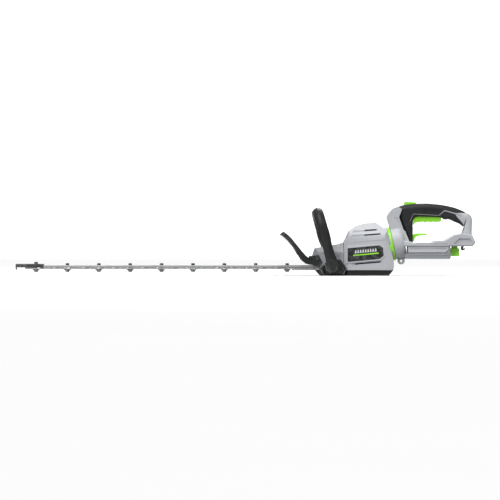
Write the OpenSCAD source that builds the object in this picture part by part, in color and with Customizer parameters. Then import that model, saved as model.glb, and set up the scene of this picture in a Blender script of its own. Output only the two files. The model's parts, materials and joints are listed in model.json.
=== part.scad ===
// Battery hedge trimmer: double-sided reciprocating blades, a front loop handle and a rear handle
// that swivels. X runs from the blade tip (-X) to the rear handle (+X), Y is across, and Z is up
// from the base of the casing.

/* [Blades] */
// Cutting length, from the first blade bolt to the last
cut_length = 650; // [400:10:800]
// Number of teeth along each side
teeth = 17; // [10:1:20]
// Distance from the middle of the blade to a tooth's tip
tooth_reach = 52; // [40:1:60]
// Width of the tooth at its root
tooth_root_w = 15; // [10:1:16]
// Width of the tooth at its tip
tooth_tip_w = 7; // [5:1:9]
// Width of the support bar and of the solid strip of each blade
bar_w = 34; // [28:1:38]
// Thickness of each blade
blade_t = 2; // [1.5:0.1:2.4]
// Thickness of the support bar
bar_t = 5.8; // [4:0.2:7]
// Height of the underside of the lower blade above the base
blade_z = 16.4; // [15.8:0.1:17]
// Number of blade bolts
bolts = 9; // [5:1:11]
// Radius of the blade bolt's shank
bolt_r = 2.5; // [2:0.25:3]
// Radius of the blade bolt's head
bolt_head_r = 5; // [4:0.25:6]
// Height of the blade bolt's head
bolt_head_h = 5.6; // [3:0.2:7]
// Reach of the tip guard ahead of the first bolt
guard_nose = 52.4; // [45:1:60]

/* [Casing] */
// Width of the motor housing
case_w = 92; // [86:1:110]
// Width of the gear case at the front
nose_w = 76; // [74:1:84]
// Wall of the moulded shells
wall = 3; // [2:0.25:3.5]
// Height of the skid cover under the casing
skid_h = 14; // [12:0.5:14]
// Height of the hump over the motor above the base
case_h = 136.5; // [134:1:160]

/* [Drive] */
// Gear module
gear_module = 1; // [0.8:0.1:1]
// Teeth on the crank gear
crank_teeth = 60; // [48:2:60]
// Teeth on the motor pinion
pinion_teeth = 10; // [9:1:12]
// Thickness of the crank gear
gear_t = 8; // [5:1:9]
// Radius of the two eccentrics that drive the blades
eccentric_r = 12; // [11:0.5:13]
// Radius of the crank shaft
crank_shaft_r = 5; // [4:0.25:5]
// Outer radius of the motor's stator
motor_r = 28; // [24:1:29]
// Radius of the motor shaft
motor_shaft_r = 3.5; // [3:0.25:3.75]
// Radius of the cooling fan
fan_r = 20; // [16:1:20]

/* [Front handle] */
// Outside width of the loop
loop_w = 200; // [170:2:230]
// Radius of the loop's tube
tube_r = 14.3; // [12:0.5:15]
// Height of the loop's top above the base
loop_top = 174; // [160:1:200]
// Lean of the loop towards the blades, in degrees
loop_lean = 15.5; // [8:0.5:18]
// Radius of the loop's corners
loop_corner_r = 42; // [30:1:50]
// Width of the hand guard
shield_w = 180; // [150:2:200]

/* [Rear handle] */
// Length of the finger opening, from the front post to the rear column
opening_l = 130; // [120:1:170]
// Width of the grip over its soft cover
grip_w = 40; // [38:1:44]
// Thickness of the soft cover on the grip
cover_t = 3; // [2:0.25:3.5]
// Width of the beam under the hand
beam_w = 84; // [78:1:90]
// Radius of the swivel ring
ring_r = 44; // [42:0.5:46]
// Thickness of the swivel ring
ring_t = 8; // [6:0.5:8.4]
// Radius of the hollow swivel spigot
spigot_r = 18; // [15:0.5:19]
// Width of the battery rails across both sides
rail_w = 76; // [70:1:80]
// Width of the trigger
trigger_w = 18; // [14:1:20]
// Width of the lock-off button
button_w = 14; // [10:1:18]

/* [Clearances] */
// Radial clearance of a running fit
run_c = 0.05; // [0.02:0.01:0.09]
// Gap between parts that slide or swing past each other
gap = 0.35; // [0.3:0.05:0.5]
// Gap between the flat faces of the two blades and the bar
blade_gap = 0.1; // [0.08:0.01:0.15]

/* [Hidden] */
$fn = 64;

// Places along the tool. The rear end and the tip are equally far from the middle.
root_x = 173;                       // front of the gear case
last_bolt_x = root_x - 65.6;        // bolt nearest the gear case
first_bolt_x = last_bolt_x - cut_length;
tip_x = first_bolt_x - guard_nose;
house_x = 253;                      // joint between gear case and motor housing
opening_dx = opening_l - 130;       // what a longer finger opening adds behind the trigger
rear_x = 595 + opening_dx;
shift_x = -(tip_x + rear_x) / 2;    // brings the middle of the whole tool to X = 0

// Blades and what clamps them
tooth_pitch = cut_length / teeth;
throw = tooth_pitch / 4;            // each blade swings this far to either side of mid-stroke
bolt_pitch = cut_length / (bolts - 1);
bolt_xs = [for (i = [0 : bolts - 1]) first_bolt_x + i * bolt_pitch];
upper_z = blade_z + blade_t + blade_gap;
bar_z = upper_z + blade_t + blade_gap;
bar_top = bar_z + bar_t;
spacer_r = bolt_r + 1.6;
slot_r = spacer_r + 0.1;
nut_top = blade_z - 0.2;
nut_bottom = 8.8;

// Drive train
motor_x = 297;
centre_distance = gear_module * (crank_teeth + pinion_teeth) / 2;
crank_x = motor_x - centre_distance;
shaft_neck_r = min(motor_shaft_r - 0.5, pinion_teeth * gear_module / 2 - 1.9);
eye_r = eccentric_r + throw + 0.5;  // end radius of the driving eye in each blade
gear_z = 24;
plate_z = 38;
plate_t = 6;
bearing_wall = 6;
stator_z = 56;
stator_t = 34;
winding_h = 5;
bracket_z = 98;
bracket_t = 6;
fan_z = 107;

// Swivel joint: an axis tipped up towards the rear
swivel_x = 376.2;
swivel_z = 81.6;
swivel_tilt = 12;
// The housing's rear wall lies against the ring's front face, so it leans with the swivel
function wall_x(z) = swivel_x - ring_t / 2 / cos(swivel_tilt) - (z - swivel_z) * tan(swivel_tilt);
house_end = wall_x(34.7);           // rear foot of the housing
barrel_r = ring_r - 2;
barrel_l = 30;
lock_r = 29;                        // distance of the lock pin from the swivel axis
lock_pin_r = 3;

// Rear handle
post_x = 433;                       // front face of the finger opening
trigger_pivot = [503, 156];
lever_pivot = [426, 94];
core_w = grip_w - 2 * cover_t;
cavity_w = core_w - 5;
beam_z = 75.5;
screw_r = 1.6;
screw_head_r = 3.2;

// ---- helpers ----

// Moves a part drawn from the casing's datum to the middle of the tool
module placed() { translate([shift_x, 0, 0]) children(); }

// Extrudes an outline given as [x, z] points across the tool, centred on Y = 0
module across(points, w) { rotate([90, 0, 0]) linear_extrude(w, center = true) polygon(points); }

// Extrudes an outline given as [x, y] points upwards from z0 to z1
module upright(points, z0, z1) { translate([0, 0, z0]) linear_extrude(z1 - z0) polygon(points); }

// Extrudes an outline given as [y, z] points along the tool from x0 to x1
module along(points, x0, x1) {
  translate([x0, 0, 0]) rotate([90, 0, 90]) linear_extrude(x1 - x0) polygon(points);
}

// A cylinder across the tool between two Y values
module cross_rod(x, z, r, y0, y1) {
  translate([x, y1, z]) rotate([90, 0, 0]) cylinder(h = y1 - y0, r = r);
}

// A box from its lowest to its highest corner
module block(lo, hi) { translate(lo) cube(hi - lo); }

// A washer or tube standing on z0
module ring(r_out, r_in, z0, z1) {
  translate([0, 0, z0]) difference() {
    cylinder(h = z1 - z0, r = r_out);
    translate([0, 0, -1]) cylinder(h = z1 - z0 + 2, r = r_in);
  }
}

// Puts children on the swivel axis: their Z runs along it to the rear and their X points down
module at_swivel() {
  translate([swivel_x, 0, swivel_z]) rotate([0, 90 - swivel_tilt, 0]) children();
}

// A corner-to-corner inset of a counter-clockwise outline
function left_of(a, b) = let (d = (b - a) / norm(b - a)) [-d[1], d[0]];
function inset(p, d) = [for (i = [0 : len(p) - 1])
  let (n = len(p), n1 = left_of(p[(i + n - 1) % n], p[i]), n2 = left_of(p[i], p[(i + 1) % n]))
  p[i] + (n1 + n2) * d / (1 + n1 * n2)];

// Mirrors a list of [x, y] points from the +Y side into a closed outline
function both_sides(p) = concat([for (q = p) [q[0], -q[1]]], [for (i = [len(p) - 1 : -1 : 0]) p[i]]);

// Points behind the trigger move back when the finger opening is lengthened
function back(p) = [for (q = p) q[0] > 515 ? [q[0] + opening_dx, q[1]] : q];

// Keeps one side of the tool: +1 for the left, -1 for the right
module side_only(s) {
  intersection() {
    children();
    translate([-1000, s > 0 ? 0 : -300, -100]) cube([2000, 300, 500]);
  }
}

// A wire spring standing on z = 0, swept as rings of six points along a helix
module coil_spring(r, wire, h, turns) {
  steps = 12;
  sides = 6;
  n = turns * steps;
  points = [for (i = [0 : n], k = [0 : sides - 1])
    let (a = 360 * i / steps, b = 360 * k / sides, rr = r + wire * cos(b))
    [rr * cos(a), rr * sin(a), wire + (h - 2 * wire) * i / n + wire * sin(b)]];
  walls = [for (i = [0 : n - 1], k = [0 : sides - 1])
    let (a = i * sides + k, b = i * sides + (k + 1) % sides) [a, a + sides, b + sides, b]];
  ends = [[for (k = [0 : sides - 1]) k], [for (k = [sides - 1 : -1 : 0]) n * sides + k]];
  polyhedron(points, concat(walls, ends), convexity = 8);
}

// A gear with straight-flanked teeth; the tooth at angle 0 points along +X when phase is 0
module gear(m, n, t, phase) {
  r = m * n / 2;
  rotate([0, 0, phase]) union() {
    cylinder(h = t, r = r - 1.25 * m);
    for (i = [0 : n - 1]) rotate([0, 0, i * 360 / n]) linear_extrude(t) polygon([
      [r - 1.6 * m, -0.80 * m], [r, -0.70 * m], [r + 0.9 * m, -0.35 * m],
      [r + 0.9 * m, 0.35 * m], [r, 0.70 * m], [r - 1.6 * m, 0.80 * m]]);
  }
}

// A round-headed screw along Z: its head's seat is at z = 0 and its shank goes down
module screw(head_r, head_h, shank_r, l) {
  difference() {
    union() {
      cylinder(h = head_h, r = head_r);
      translate([0, 0, -l]) cylinder(h = l, r = shank_r);
    }
    translate([0, 0, head_h - 1.6]) cylinder(h = 2, r = head_r * 0.5, $fn = 6);
  }
}

// ---- blades ----

module slot(x, half_l, r, z0, z1) {
  translate([x, 0, z0]) union() {
    translate([-half_l, 0, 0]) cylinder(h = z1 - z0, r = r);
    translate([half_l, 0, 0]) cylinder(h = z1 - z0, r = r);
    translate([-half_l, -r, 0]) cube([2 * half_l, 2 * r, z1 - z0]);
  }
}

module tooth(x, side, t) {
  root = bar_w / 2 - 1;
  linear_extrude(t) translate([x, 0]) polygon([for (p = [
    [-tooth_root_w / 2, root], [tooth_root_w / 2, root],
    [tooth_tip_w / 2 + 0.8, tooth_reach - 4], [tooth_tip_w / 2 - 1, tooth_reach],
    [-tooth_tip_w / 2 + 1, tooth_reach], [-tooth_tip_w / 2 - 0.8, tooth_reach - 4]])
    [p[0], side * p[1]]]);
}

// One blade: a strip with teeth along both sides, guide slots, and a driving eye round the crank.
// The upper and lower blades are drawn at mid-stroke, where their teeth stand half a pitch apart.
module blade(z, offset_x) {
  strip = bar_w / 2;
  front = first_bolt_x - 28;
  translate([0, 0, z]) difference() {
    union() {
      linear_extrude(blade_t) polygon([[front, -6], [front + 14, -strip], [crank_x, -strip],
        [crank_x, strip], [front + 14, strip], [front, 6]]);
      for (i = [0 : teeth - 1], s = [-1, 1])
        tooth(first_bolt_x + offset_x + (i + 0.25) * tooth_pitch, s, blade_t);
      slot(crank_x, throw, eye_r + 4, 0, blade_t);
    }
    for (x = bolt_xs) slot(x, throw + 0.3, slot_r, -1, blade_t + 1);
    slot(crank_x, throw, eye_r, -1, blade_t + 1);
  }
}

module upper_blade() color("silver") placed() blade(upper_z, 0);

module lower_blade() color("silver") placed() blade(blade_z, tooth_pitch / 2);

module support_bar() color("lightgray") placed() difference() {
  front = first_bolt_x - 30;
  s = bar_w / 2;
  upright([[front, -8], [front + 14, -s], [root_x + 36, -s], [root_x + 36, s], [front + 14, s],
    [front, 8]], bar_z, bar_top);
  for (x = bolt_xs) translate([x, 0, bar_z - 1]) cylinder(h = bar_t + 2, r = bolt_r + run_c);
  for (x = [root_x + 14, root_x + 28])
    translate([x, 0, bar_z - 1]) cylinder(h = bar_t + 2, r = 2.5);
}

module blade_bolts() color("#222222") placed() for (i = [0 : bolts - 1]) {
  seat = bar_top + (i == 0 ? 3.4 : 0);
  translate([bolt_xs[i], 0, seat]) screw(bolt_head_r, bolt_head_h, bolt_r, seat - nut_bottom - 1);
}

module blade_spacers() color("silver") placed() for (x = bolt_xs)
  translate([x, 0, 0]) ring(spacer_r, bolt_r + run_c, nut_top, bar_z);

module blade_nuts() color("#333333") placed() for (x = bolt_xs) translate([x, 0, nut_bottom]) {
  h = nut_top - nut_bottom;
  difference() {
    union() {
      cylinder(h = h - 1.4, r1 = 4.6, r2 = 8);
      translate([0, 0, h - 1.4]) cylinder(h = 1.4, r = 9);
    }
    translate([0, 0, -1]) cylinder(h = h + 2, r = bolt_r + run_c);
  }
}

// Cap over the blade end: wider than the bar and open underneath so the blades slide freely
module tip_guard() color("#3a3a3c") placed() difference() {
  back_x = first_bolt_x + 20;
  union() {
    upright(both_sides([[tip_x, 13], [tip_x + 12, 26], [tip_x + 34, 33], [tip_x + 52, 29],
      [back_x, bar_w / 2 + 4]]), bar_z + 0.4, bar_top + 3.4);
    upright(both_sides([[tip_x, 13], [tip_x + 2.4, 15]]), blade_z - 1.4, bar_z + 1);
  }
  s = bar_w / 2 + 0.2;
  upright([[first_bolt_x - 30.3, -8.2], [first_bolt_x - 16, -s], [back_x + 1, -s],
    [back_x + 1, s], [first_bolt_x - 16, s], [first_bolt_x - 30.3, 8.2]], bar_z, bar_top);
  translate([first_bolt_x, 0, bar_top]) cylinder(h = 10, r = bolt_r + run_c);
}

// Plate that carries the blades from below where they enter the gear case
module lower_guide_plate() color("#55565a") placed() difference() {
  s = bar_w / 2;
  upright([[root_x - 53, -s + 6], [root_x - 43, -s], [root_x + 40, -s], [root_x + 40, s],
    [root_x - 43, s], [root_x - 53, s - 6]], skid_h + 0.1, blade_z - 0.2);
  translate([last_bolt_x, 0, 0]) cylinder(h = 30, r = 9.4);
}

// ---- gear case and drive ----

nose_side = [[root_x + 1, skid_h], [house_x, skid_h], [house_x, 84], [225, 78.7], [192, 73],
  [178.5, 70.4], [root_x, 53]];
nose_plan = both_sides([[root_x - 1, nose_w / 2 - 14], [root_x + 14, nose_w / 2], [house_x, nose_w / 2]]);
nose_front = [[-nose_w / 2, skid_h], [nose_w / 2, skid_h], [nose_w / 2, 62], [nose_w / 2 - 14, 84],
  [14 - nose_w / 2, 84], [-nose_w / 2, 62]];

module gear_case() color("#8e9196") placed() difference() {
  intersection() {
    across(nose_side, nose_w);
    upright(nose_plan, 0, 100);
    along(nose_front, root_x - 1, house_x);
  }
  // hollow, open to the rear and closed below by the skid cover
  intersection() {
    across([[root_x + wall, skid_h - 1], [house_x + 1, skid_h - 1], [house_x + 1, 84 - wall],
      [225, 78.7 - wall], [192, 73 - wall], [181, 70.4 - wall], [root_x + wall, 53 - wall / 2]], nose_w);
    upright(both_sides([[root_x, nose_w / 2 - 14 - wall], [root_x + 14 + wall, nose_w / 2 - wall],
      [house_x + 1, nose_w / 2 - wall]]), 0, 100);
    along([[wall - nose_w / 2, 0], [nose_w / 2 - wall, 0], [nose_w / 2 - wall, 61],
      [nose_w / 2 - 14, 82.5 - wall], [14 - nose_w / 2, 82.5 - wall], [wall - nose_w / 2, 61]],
      root_x, house_x + 1);
  }
  // mouth for the bar and the blades
  block([root_x - 2, -bar_w / 2 - 0.5, 0], [root_x + 8, bar_w / 2 + 0.5, bar_top + 0.5]);
  // pilot holes for the guard's screws
  for (s = [-1, 1]) cross_rod(184.7, 45.3, screw_r, s > 0 ? 20 : -50, s > 0 ? 50 : -20);
}

skid_side = [[192, 0], [369, 0], [381.5, 12.5], [381.5, skid_h], [180, skid_h], [179, 13]];

// Skid cover: closes the casing below, carries the lower crank bearing and is what the tool rests on
module skid_cover() color("#1d1e20") placed() difference() {
  union() {
    difference() {
      intersection() {
        across(skid_side, case_w - 4);
        upright(both_sides([[178, 28], [194, nose_w / 2 - 2], [house_x, nose_w / 2 - 2],
          [house_x + 12, case_w / 2 - 2], [383, case_w / 2 - 2]]), -1, 50);
      }
      block([197, 5 - nose_w / 2, wall], [house_x + 8, nose_w / 2 - 5, 40]);
      block([house_x + 8, 5 - case_w / 2, wall], [368, case_w / 2 - 5, 40]);
    }
    translate([crank_x, 0, wall - 0.5]) cylinder(h = 8, r = crank_shaft_r + bearing_wall + 4);
  }
  translate([crank_x, 0, 4]) cylinder(h = 20, r = crank_shaft_r + bearing_wall);
}

module crank_gear() color("#6f7276") placed() translate([crank_x, 0, 0]) difference() {
  union() {
    translate([0, 0, gear_z]) gear(gear_module, crank_teeth, gear_t, 0);
    translate([0, 0, bar_z + 0.4]) cylinder(h = gear_z - bar_z, r = 10);
    // hub that joins the eccentrics however far they stand apart
    translate([0, 0, blade_z]) cylinder(h = gear_z - blade_z, r = crank_shaft_r + 2.5);
    // eccentrics stand opposite each other, across the tool at mid-stroke
    translate([0, throw, blade_z - 0.4]) cylinder(h = blade_t + 0.6, r = eccentric_r);
    translate([0, -throw, upper_z - 0.1]) cylinder(h = blade_t + 0.9, r = eccentric_r);
  }
  translate([0, 0, -1]) cylinder(h = 60, r = crank_shaft_r);
}

module crank_shaft() color("silver") placed() translate([crank_x, 0, 4.5])
  cylinder(h = plate_z + plate_t - 4, r = crank_shaft_r);

module crank_bearings() color("#c8c8ca") placed() translate([crank_x, 0, 0]) {
  ring(crank_shaft_r + bearing_wall, crank_shaft_r + run_c, 4, 10);
  ring(crank_shaft_r + bearing_wall, crank_shaft_r + run_c, plate_z, plate_z + plate_t);
}

// Plate over the gears: it carries the upper crank bearing, the motor's lower bearing and the stator
module gearbox_plate() color("#9a9da2") placed() difference() {
  union() {
    upright(both_sides([[212, 30], [motor_x, 32], [motor_x + 34, 22]]), plate_z, plate_z + plate_t);
    translate([motor_x, 0, plate_z]) cylinder(h = stator_z - plate_z + 8, r = motor_r + 2.5);
  }
  translate([motor_x, 0, plate_z + plate_t]) cylinder(h = 60, r = motor_r);
  translate([crank_x, 0, 0]) cylinder(h = 90, r = crank_shaft_r + bearing_wall);
  translate([motor_x, 0, 0]) cylinder(h = 90, r = motor_shaft_r + bearing_wall);
}

module pinion() color("#7c8085") placed() translate([motor_x, 0, gear_z - 1]) difference() {
  gear(gear_module, pinion_teeth, gear_t + 2, 180 + 180 / pinion_teeth);
  translate([0, 0, -1]) cylinder(h = gear_t + 4, r = shaft_neck_r);
}

module motor_shaft() color("silver") placed() translate([motor_x, 0, 0]) {
  translate([0, 0, gear_z - 2]) cylinder(h = gear_t + 4.5, r = shaft_neck_r);
  translate([0, 0, gear_z + gear_t + 1.5]) cylinder(h = fan_z + 9 - gear_z - gear_t, r = motor_shaft_r);
}

module rotor() color("#4b4d52") placed() translate([motor_x, 0, 0])
  ring(motor_r * 0.6, motor_shaft_r, stator_z - 1, stator_z + stator_t + 1);

module stator_core() color("#5c5e62") placed() translate([motor_x, 0, stator_z]) difference() {
  cylinder(h = stator_t, r = motor_r);
  translate([0, 0, -1]) cylinder(h = stator_t + 2, r = motor_r * 0.6 + 0.5);
  for (i = [0 : 11]) rotate([0, 0, 15 + i * 30]) translate([motor_r * 0.72, -1.5, -1])
    cube([motor_r * 0.16, 3, stator_t + 2]);
}

module stator_windings() color("#b0703a") placed() translate([motor_x, 0, 0]) {
  for (z = [stator_z - winding_h, stator_z + stator_t])
    ring(motor_r - 3, motor_r * 0.6 + 1.5, z, z + winding_h);
}

module motor_bearings() color("#c8c8ca") placed() translate([motor_x, 0, 0]) {
  ring(motor_shaft_r + bearing_wall, motor_shaft_r + run_c, plate_z, plate_z + plate_t);
  ring(motor_shaft_r + bearing_wall, motor_shaft_r + run_c, bracket_z, bracket_z + bracket_t);
}

// Bridge over the motor that carries its upper bearing, on two legs that stand on the stator
module motor_end_bracket() color("#9a9da2") placed() translate([motor_x, 0, 0]) difference() {
  union() {
    translate([-9, -motor_r, bracket_z]) cube([18, 2 * motor_r, bracket_t]);
    translate([0, 0, bracket_z]) cylinder(h = bracket_t, r = motor_shaft_r + bearing_wall + 3);
    for (s = [-1, 1]) translate([-6, s * (motor_r - 1.35) - 1.25, stator_z + stator_t])
      cube([12, 2.5, bracket_z - stator_z - stator_t + 1]);
  }
  translate([0, 0, bracket_z - 1]) cylinder(h = bracket_t + 2, r = motor_shaft_r + bearing_wall);
}

module cooling_fan() color("#2b2c2e") placed() translate([motor_x, 0, fan_z]) difference() {
  union() {
    cylinder(h = 1.6, r = fan_r);
    cylinder(h = 7, r = motor_shaft_r + 3);
    for (i = [0 : 8]) rotate([0, 0, i * 40]) translate([6, -0.7, 1]) cube([fan_r - 6.5, 1.4, 5.5]);
  }
  translate([0, 0, -1]) cylinder(h = 12, r = motor_shaft_r);
}

module controller_board() color("#2e6b3a") placed() {
  block([336, -27, 46], [337.6, 27, 102]);
  for (y = [-18, -6, 6, 18]) block([331.5, y - 3, 60], [336, y + 3, 72]);
}

module heat_sink() color("silver") placed() {
  block([337.6, -25, 50], [340.6, 25, 98]);
  for (i = [0 : 6]) block([340.6, -24 + i * 7.6, 50], [347, -22 + i * 7.6, 98]);
}

// ---- motor housing ----

house_side = [[house_x, skid_h], [house_end, skid_h], [house_end, 34.7], [wall_x(121.5), 121.5],
  [354.8, 123.3], [336.7, case_h], [304.6, case_h - 3], [289, case_h - 6.5], [267, case_h - 21.5],
  [house_x, 85]];
house_front = [[-case_w / 2, skid_h], [case_w / 2, skid_h], [case_w / 2, 100], [case_w / 2 - 8, 116],
  [case_w / 2 - 22, case_h], [22 - case_w / 2, case_h], [8 - case_w / 2, 116], [-case_w / 2, 100]];
house_plan = both_sides([[house_x, nose_w / 2 + 1], [house_x + 10, case_w / 2],
  [house_end - 22, case_w / 2], [house_end, case_w / 2 - 8]]);
house_screw_at = [[261.5, 80], [286, case_h - 15.5], [347, 112], [368, 24]];

// A raked cooling slot: a thin bar that leans with the roof line and cuts through both sides
module vent(x0, z0, x1, z1, h) {
  across([[x0, z0 - h / 2], [x1, z1 - h / 2], [x1, z1 + h / 2], [x0, z0 + h / 2]], case_w + 40);
}

module housing() {
  difference() {
    union() {
      difference() {
        intersection() {
          across(house_side, case_w);
          along(house_front, house_x, house_end);
          upright(house_plan, 0, 200);
        }
        intersection() {
          across(concat([[house_x - 1, skid_h - 1], [house_end - wall, skid_h - 1]],
            [for (i = [2 : 8]) inset(house_side, wall)[i]], [[house_x - 1, 85 - wall]]), case_w);
          along(concat([[wall - case_w / 2, 0], [case_w / 2 - wall, 0]],
            [for (i = [2 : 7]) inset(house_front, wall)[i]]), house_x - 1, house_end);
          upright(both_sides([[house_x - 1, nose_w / 2 - wall], [house_x + 11, case_w / 2 - wall],
            [house_end - 23, case_w / 2 - wall], [house_end, case_w / 2 - 9 - wall]]), 0, 200);
        }
      }
      intersection() {
        for (p = house_screw_at) cross_rod(p[0], p[1], 4.5, -case_w / 2 + 2, case_w / 2 - 2);
        along(house_front, house_x, house_end);
      }
    }
    vent(278, 113.7, 340, 118, 4.5);
    vent(272.5, 101, 349, 107.5, 4.5);
    vent(276, 28.5, 350, 35, 4.5);
    at_swivel() translate([0, 0, -30]) cylinder(h = 60, r = spigot_r);
    ring_screw_holes();
    for (p = house_screw_at) {
      cross_rod(p[0], p[1], screw_r, -30, 30);
      cross_rod(p[0], p[1], screw_head_r + 0.3, 24, case_w);
    }
  }
}

module housing_left() color("#b9bcc0") placed() side_only(1) housing();

module housing_right() color("#b9bcc0") placed() side_only(-1) housing();

module housing_screws() color("#222222") placed() for (p = house_screw_at)
  translate([p[0], 24, p[1]]) rotate([-90, 0, 0]) screw(screw_head_r, 2.6, screw_r, 44);

badge = [[263, 35.5], [344.5, 43], [355.3, 51.5], [353, 71], [344.5, 77.2], [263, 69.7]];

// A blank plate stuck on each side of the housing
module badge_plates() color("#161718") placed() for (s = [-1, 1])
  translate([0, s * (case_w / 2 + 0.6), 0]) across(inset(badge, 2.2), 1.2);

// ---- hand guard and front handle ----

shield = [[143, 40.7], [151, 35.5], [root_x - 0.5, 28.8], [root_x - 0.5, 51.6], [144, 59],
  [107, 102], [98.7, 110.6], [87, 111.6]];

module hand_guard() color("#202124") placed() difference() {
  union() {
    intersection() {
      across(shield, shield_w);
      along([[-nose_w / 2 - 5, 20], [nose_w / 2 + 5, 20], [shield_w / 2 - 12, 56], [shield_w / 2, 78],
        [shield_w / 2, 98], [shield_w / 2 - 14, 112], [14 - shield_w / 2, 112],
        [-shield_w / 2, 98], [-shield_w / 2, 78], [12 - shield_w / 2, 56]], 80, 200);
    }
    for (s = [-1, 1]) translate([0, s * (nose_w / 2 + 2.6), 0])
      across([[root_x - 6, 30], [187, 21], [198, 34.4], [188, 53.6], [root_x - 6, 51]], 4.8);
  }
  block([100, -bar_w / 2 - 3, 0], [200, bar_w / 2 + 3, bar_top + bolt_head_h + 1]);
  for (s = [-1, 1]) cross_rod(184.7, 45.3, screw_r + 0.2, s > 0 ? 20 : -60, s > 0 ? 60 : -20);
}

module guard_screws() color("#333333") placed() for (s = [-1, 1])
  translate([184.7, s * (nose_w / 2 + 5), 45.3]) rotate([-90 * s, 0, 0])
    screw(4.6, 2.6, screw_r, 12);

// The loop stands in a leaning plane: local Y across, local Z up the lean, from the foot's centre
foot = [229, 6];
loop_h = (loop_top - tube_r * 0.97 - foot[1]) / cos(loop_lean);
loop_half = loop_w / 2 - tube_r;
foot_bend_r = 24;
module leaning() { translate([foot[0], 0, foot[1]]) rotate([0, -loop_lean, 0]) children(); }

// Points [y, z] of the loop's centre line, from one foot up, over and down to the other
function arc_points(c, r, a0, a1) = [for (i = [0 : 8]) let (a = a0 + (a1 - a0) * i / 8)
  c + r * [cos(a), sin(a)]];
foot_y = case_w / 2 + 4;
foot_z = 18;
loop_side = concat(
  arc_points([loop_half - foot_bend_r, foot_z + foot_bend_r], foot_bend_r, -90, 0),
  arc_points([loop_half - loop_corner_r, loop_h - loop_corner_r], loop_corner_r, 0, 90));
loop_line = concat([[foot_y, foot_z]], loop_side,
  [for (i = [len(loop_side) - 1 : -1 : 0]) [-loop_side[i][0], loop_side[i][1]]],
  [[-foot_y, foot_z]]);

module front_handle() color("#26272a") placed() leaning() {
  sides = 20;
  n = len(loop_line);
  points = [for (i = [0 : n - 1], k = [0 : sides - 1])
    let (d = loop_line[min(i + 1, n - 1)] - loop_line[max(i - 1, 0)], u = d / norm(d),
      a = 360 * k / sides, c = loop_line[i], v = tube_r * cos(a))
    [tube_r * sin(a), c[0] - u[1] * v, c[1] + u[0] * v]];
  walls = [for (i = [0 : n - 2], k = [0 : sides - 1])
    let (a = i * sides + k, b = i * sides + (k + 1) % sides) [a, b, b + sides, a + sides]];
  ends = [[for (k = [sides - 1 : -1 : 0]) k], [for (k = [0 : sides - 1]) (n - 1) * sides + k]];
  polyhedron(points, concat(walls, ends), convexity = 6);
}

boot = [[213, 4], [252, 2], [262, 17.6], [247, 40], [236, 42], [212, 42], [203, 31], [202, 12]];

// Clamps that hold the loop's feet against the gear case on each side
module handle_boots() color("#1f2022") placed() for (s = [-1, 1]) difference() {
  translate([0, s * (nose_w / 2 + 5.5), 0]) across(boot, 10.8);
  leaning() translate([0, s * foot_y, foot_z]) rotate([-90 * s, 0, 0])
    cylinder(h = 40, r = tube_r);
  upright(house_plan, -1, 100);
  cross_rod(249, 18, screw_r + 0.2, s > 0 ? 20 : -60, s > 0 ? 60 : -20);
}

module boot_screws() color("#333333") placed() for (s = [-1, 1])
  translate([249, s * (nose_w / 2 + 10.9), 18]) rotate([-90 * s, 0, 0])
    screw(3.6, 2.4, screw_r, 10.5);

// ---- swivel ----

ring_screw_at = [for (a = [-60 : 60 : 240]) [24 * cos(a + 8), 24 * sin(a + 8)]];
spigot_flange_t = 4;
flange_front = -ring_t / 2 - wall - 0.1 - spigot_flange_t;
module ring_screw_holes() {
  at_swivel() for (p = ring_screw_at) translate([p[0], p[1], flange_front - 1])
    cylinder(h = 40, r = screw_r);
}

// Hollow spigot fixed to the housing's rear wall; the rear handle turns on it
module swivel_spigot() color("#4a4b4e") placed() difference() {
  at_swivel() difference() {
    union() {
      translate([0, 0, flange_front]) cylinder(h = spigot_flange_t, r = 30);
      translate([0, 0, flange_front]) cylinder(h = ring_t / 2 + 10 - flange_front, r = spigot_r);
    }
    translate([0, 0, -30]) cylinder(h = 80, r = spigot_r - 4);
  }
  ring_screw_holes();
}

module swivel_ring() color("limegreen") placed() difference() {
  at_swivel() difference() {
    translate([0, 0, -ring_t / 2]) cylinder(h = ring_t, r = ring_r);
    translate([0, 0, -ring_t]) cylinder(h = 2 * ring_t, r = spigot_r);
    // five blind stops for the lock pin, an eighth of a turn apart
    for (a = [-90 : 45 : 90]) rotate([0, 0, a]) translate([-lock_r, 0, ring_t / 2 - 5])
      cylinder(h = 6, r = lock_pin_r + 0.3);
  }
  ring_screw_holes();
}

module ring_screws() color("#333333") placed() at_swivel() for (p = ring_screw_at)
  translate([p[0], p[1], flange_front]) mirror([0, 0, 1])
    screw(screw_head_r, 2, screw_r, ring_t / 2 - 1 - flange_front);

module swivel_retainer() color("silver") placed() at_swivel()
  ring(spigot_r + 4, spigot_r, ring_t / 2 + gap + 5 + gap, ring_t / 2 + gap + 5 + gap + 3);

// ---- rear handle ----

tower = [[384, 92], [424, beam_z], [423.5, 86], [412.6, 114], [408, 117.6], [394.5, 152],
  [403, 173], [393, 178], [381, 173], [370, 161], [364.5, 151], [372.5, 124]];
grip = back([[423.5, 86], [post_x, 86], [post_x + 0.6, 130], [435.4, 145], [442.6, 151],
  [506, 149.4], [512.6, 143], [522.7, 146], [539, 139], [555, 132], [562.5, 125], [567, 136],
  [573, 160], [566, 165], [539, 176], [512, 182], [484, 185.7], [461, 186.7], [443, 185.7],
  [408, 184], [403, 173], [394.5, 152], [408, 117.6], [412.6, 114]]);
column = back([[558, 108.5], [585, 105], [586, 145], [582.5, 156], [573, 160], [567, 136],
  [562.5, 119]]);
beam = back([[401, beam_z], [587, beam_z], [595, 85], [586, 103], [585, 105], [558, 108.5],
  [541, 105.7], [512.6, 90.4], [488, 90.4], [480, 85.5], [post_x, 85.5], [401, 92]]);
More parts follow.
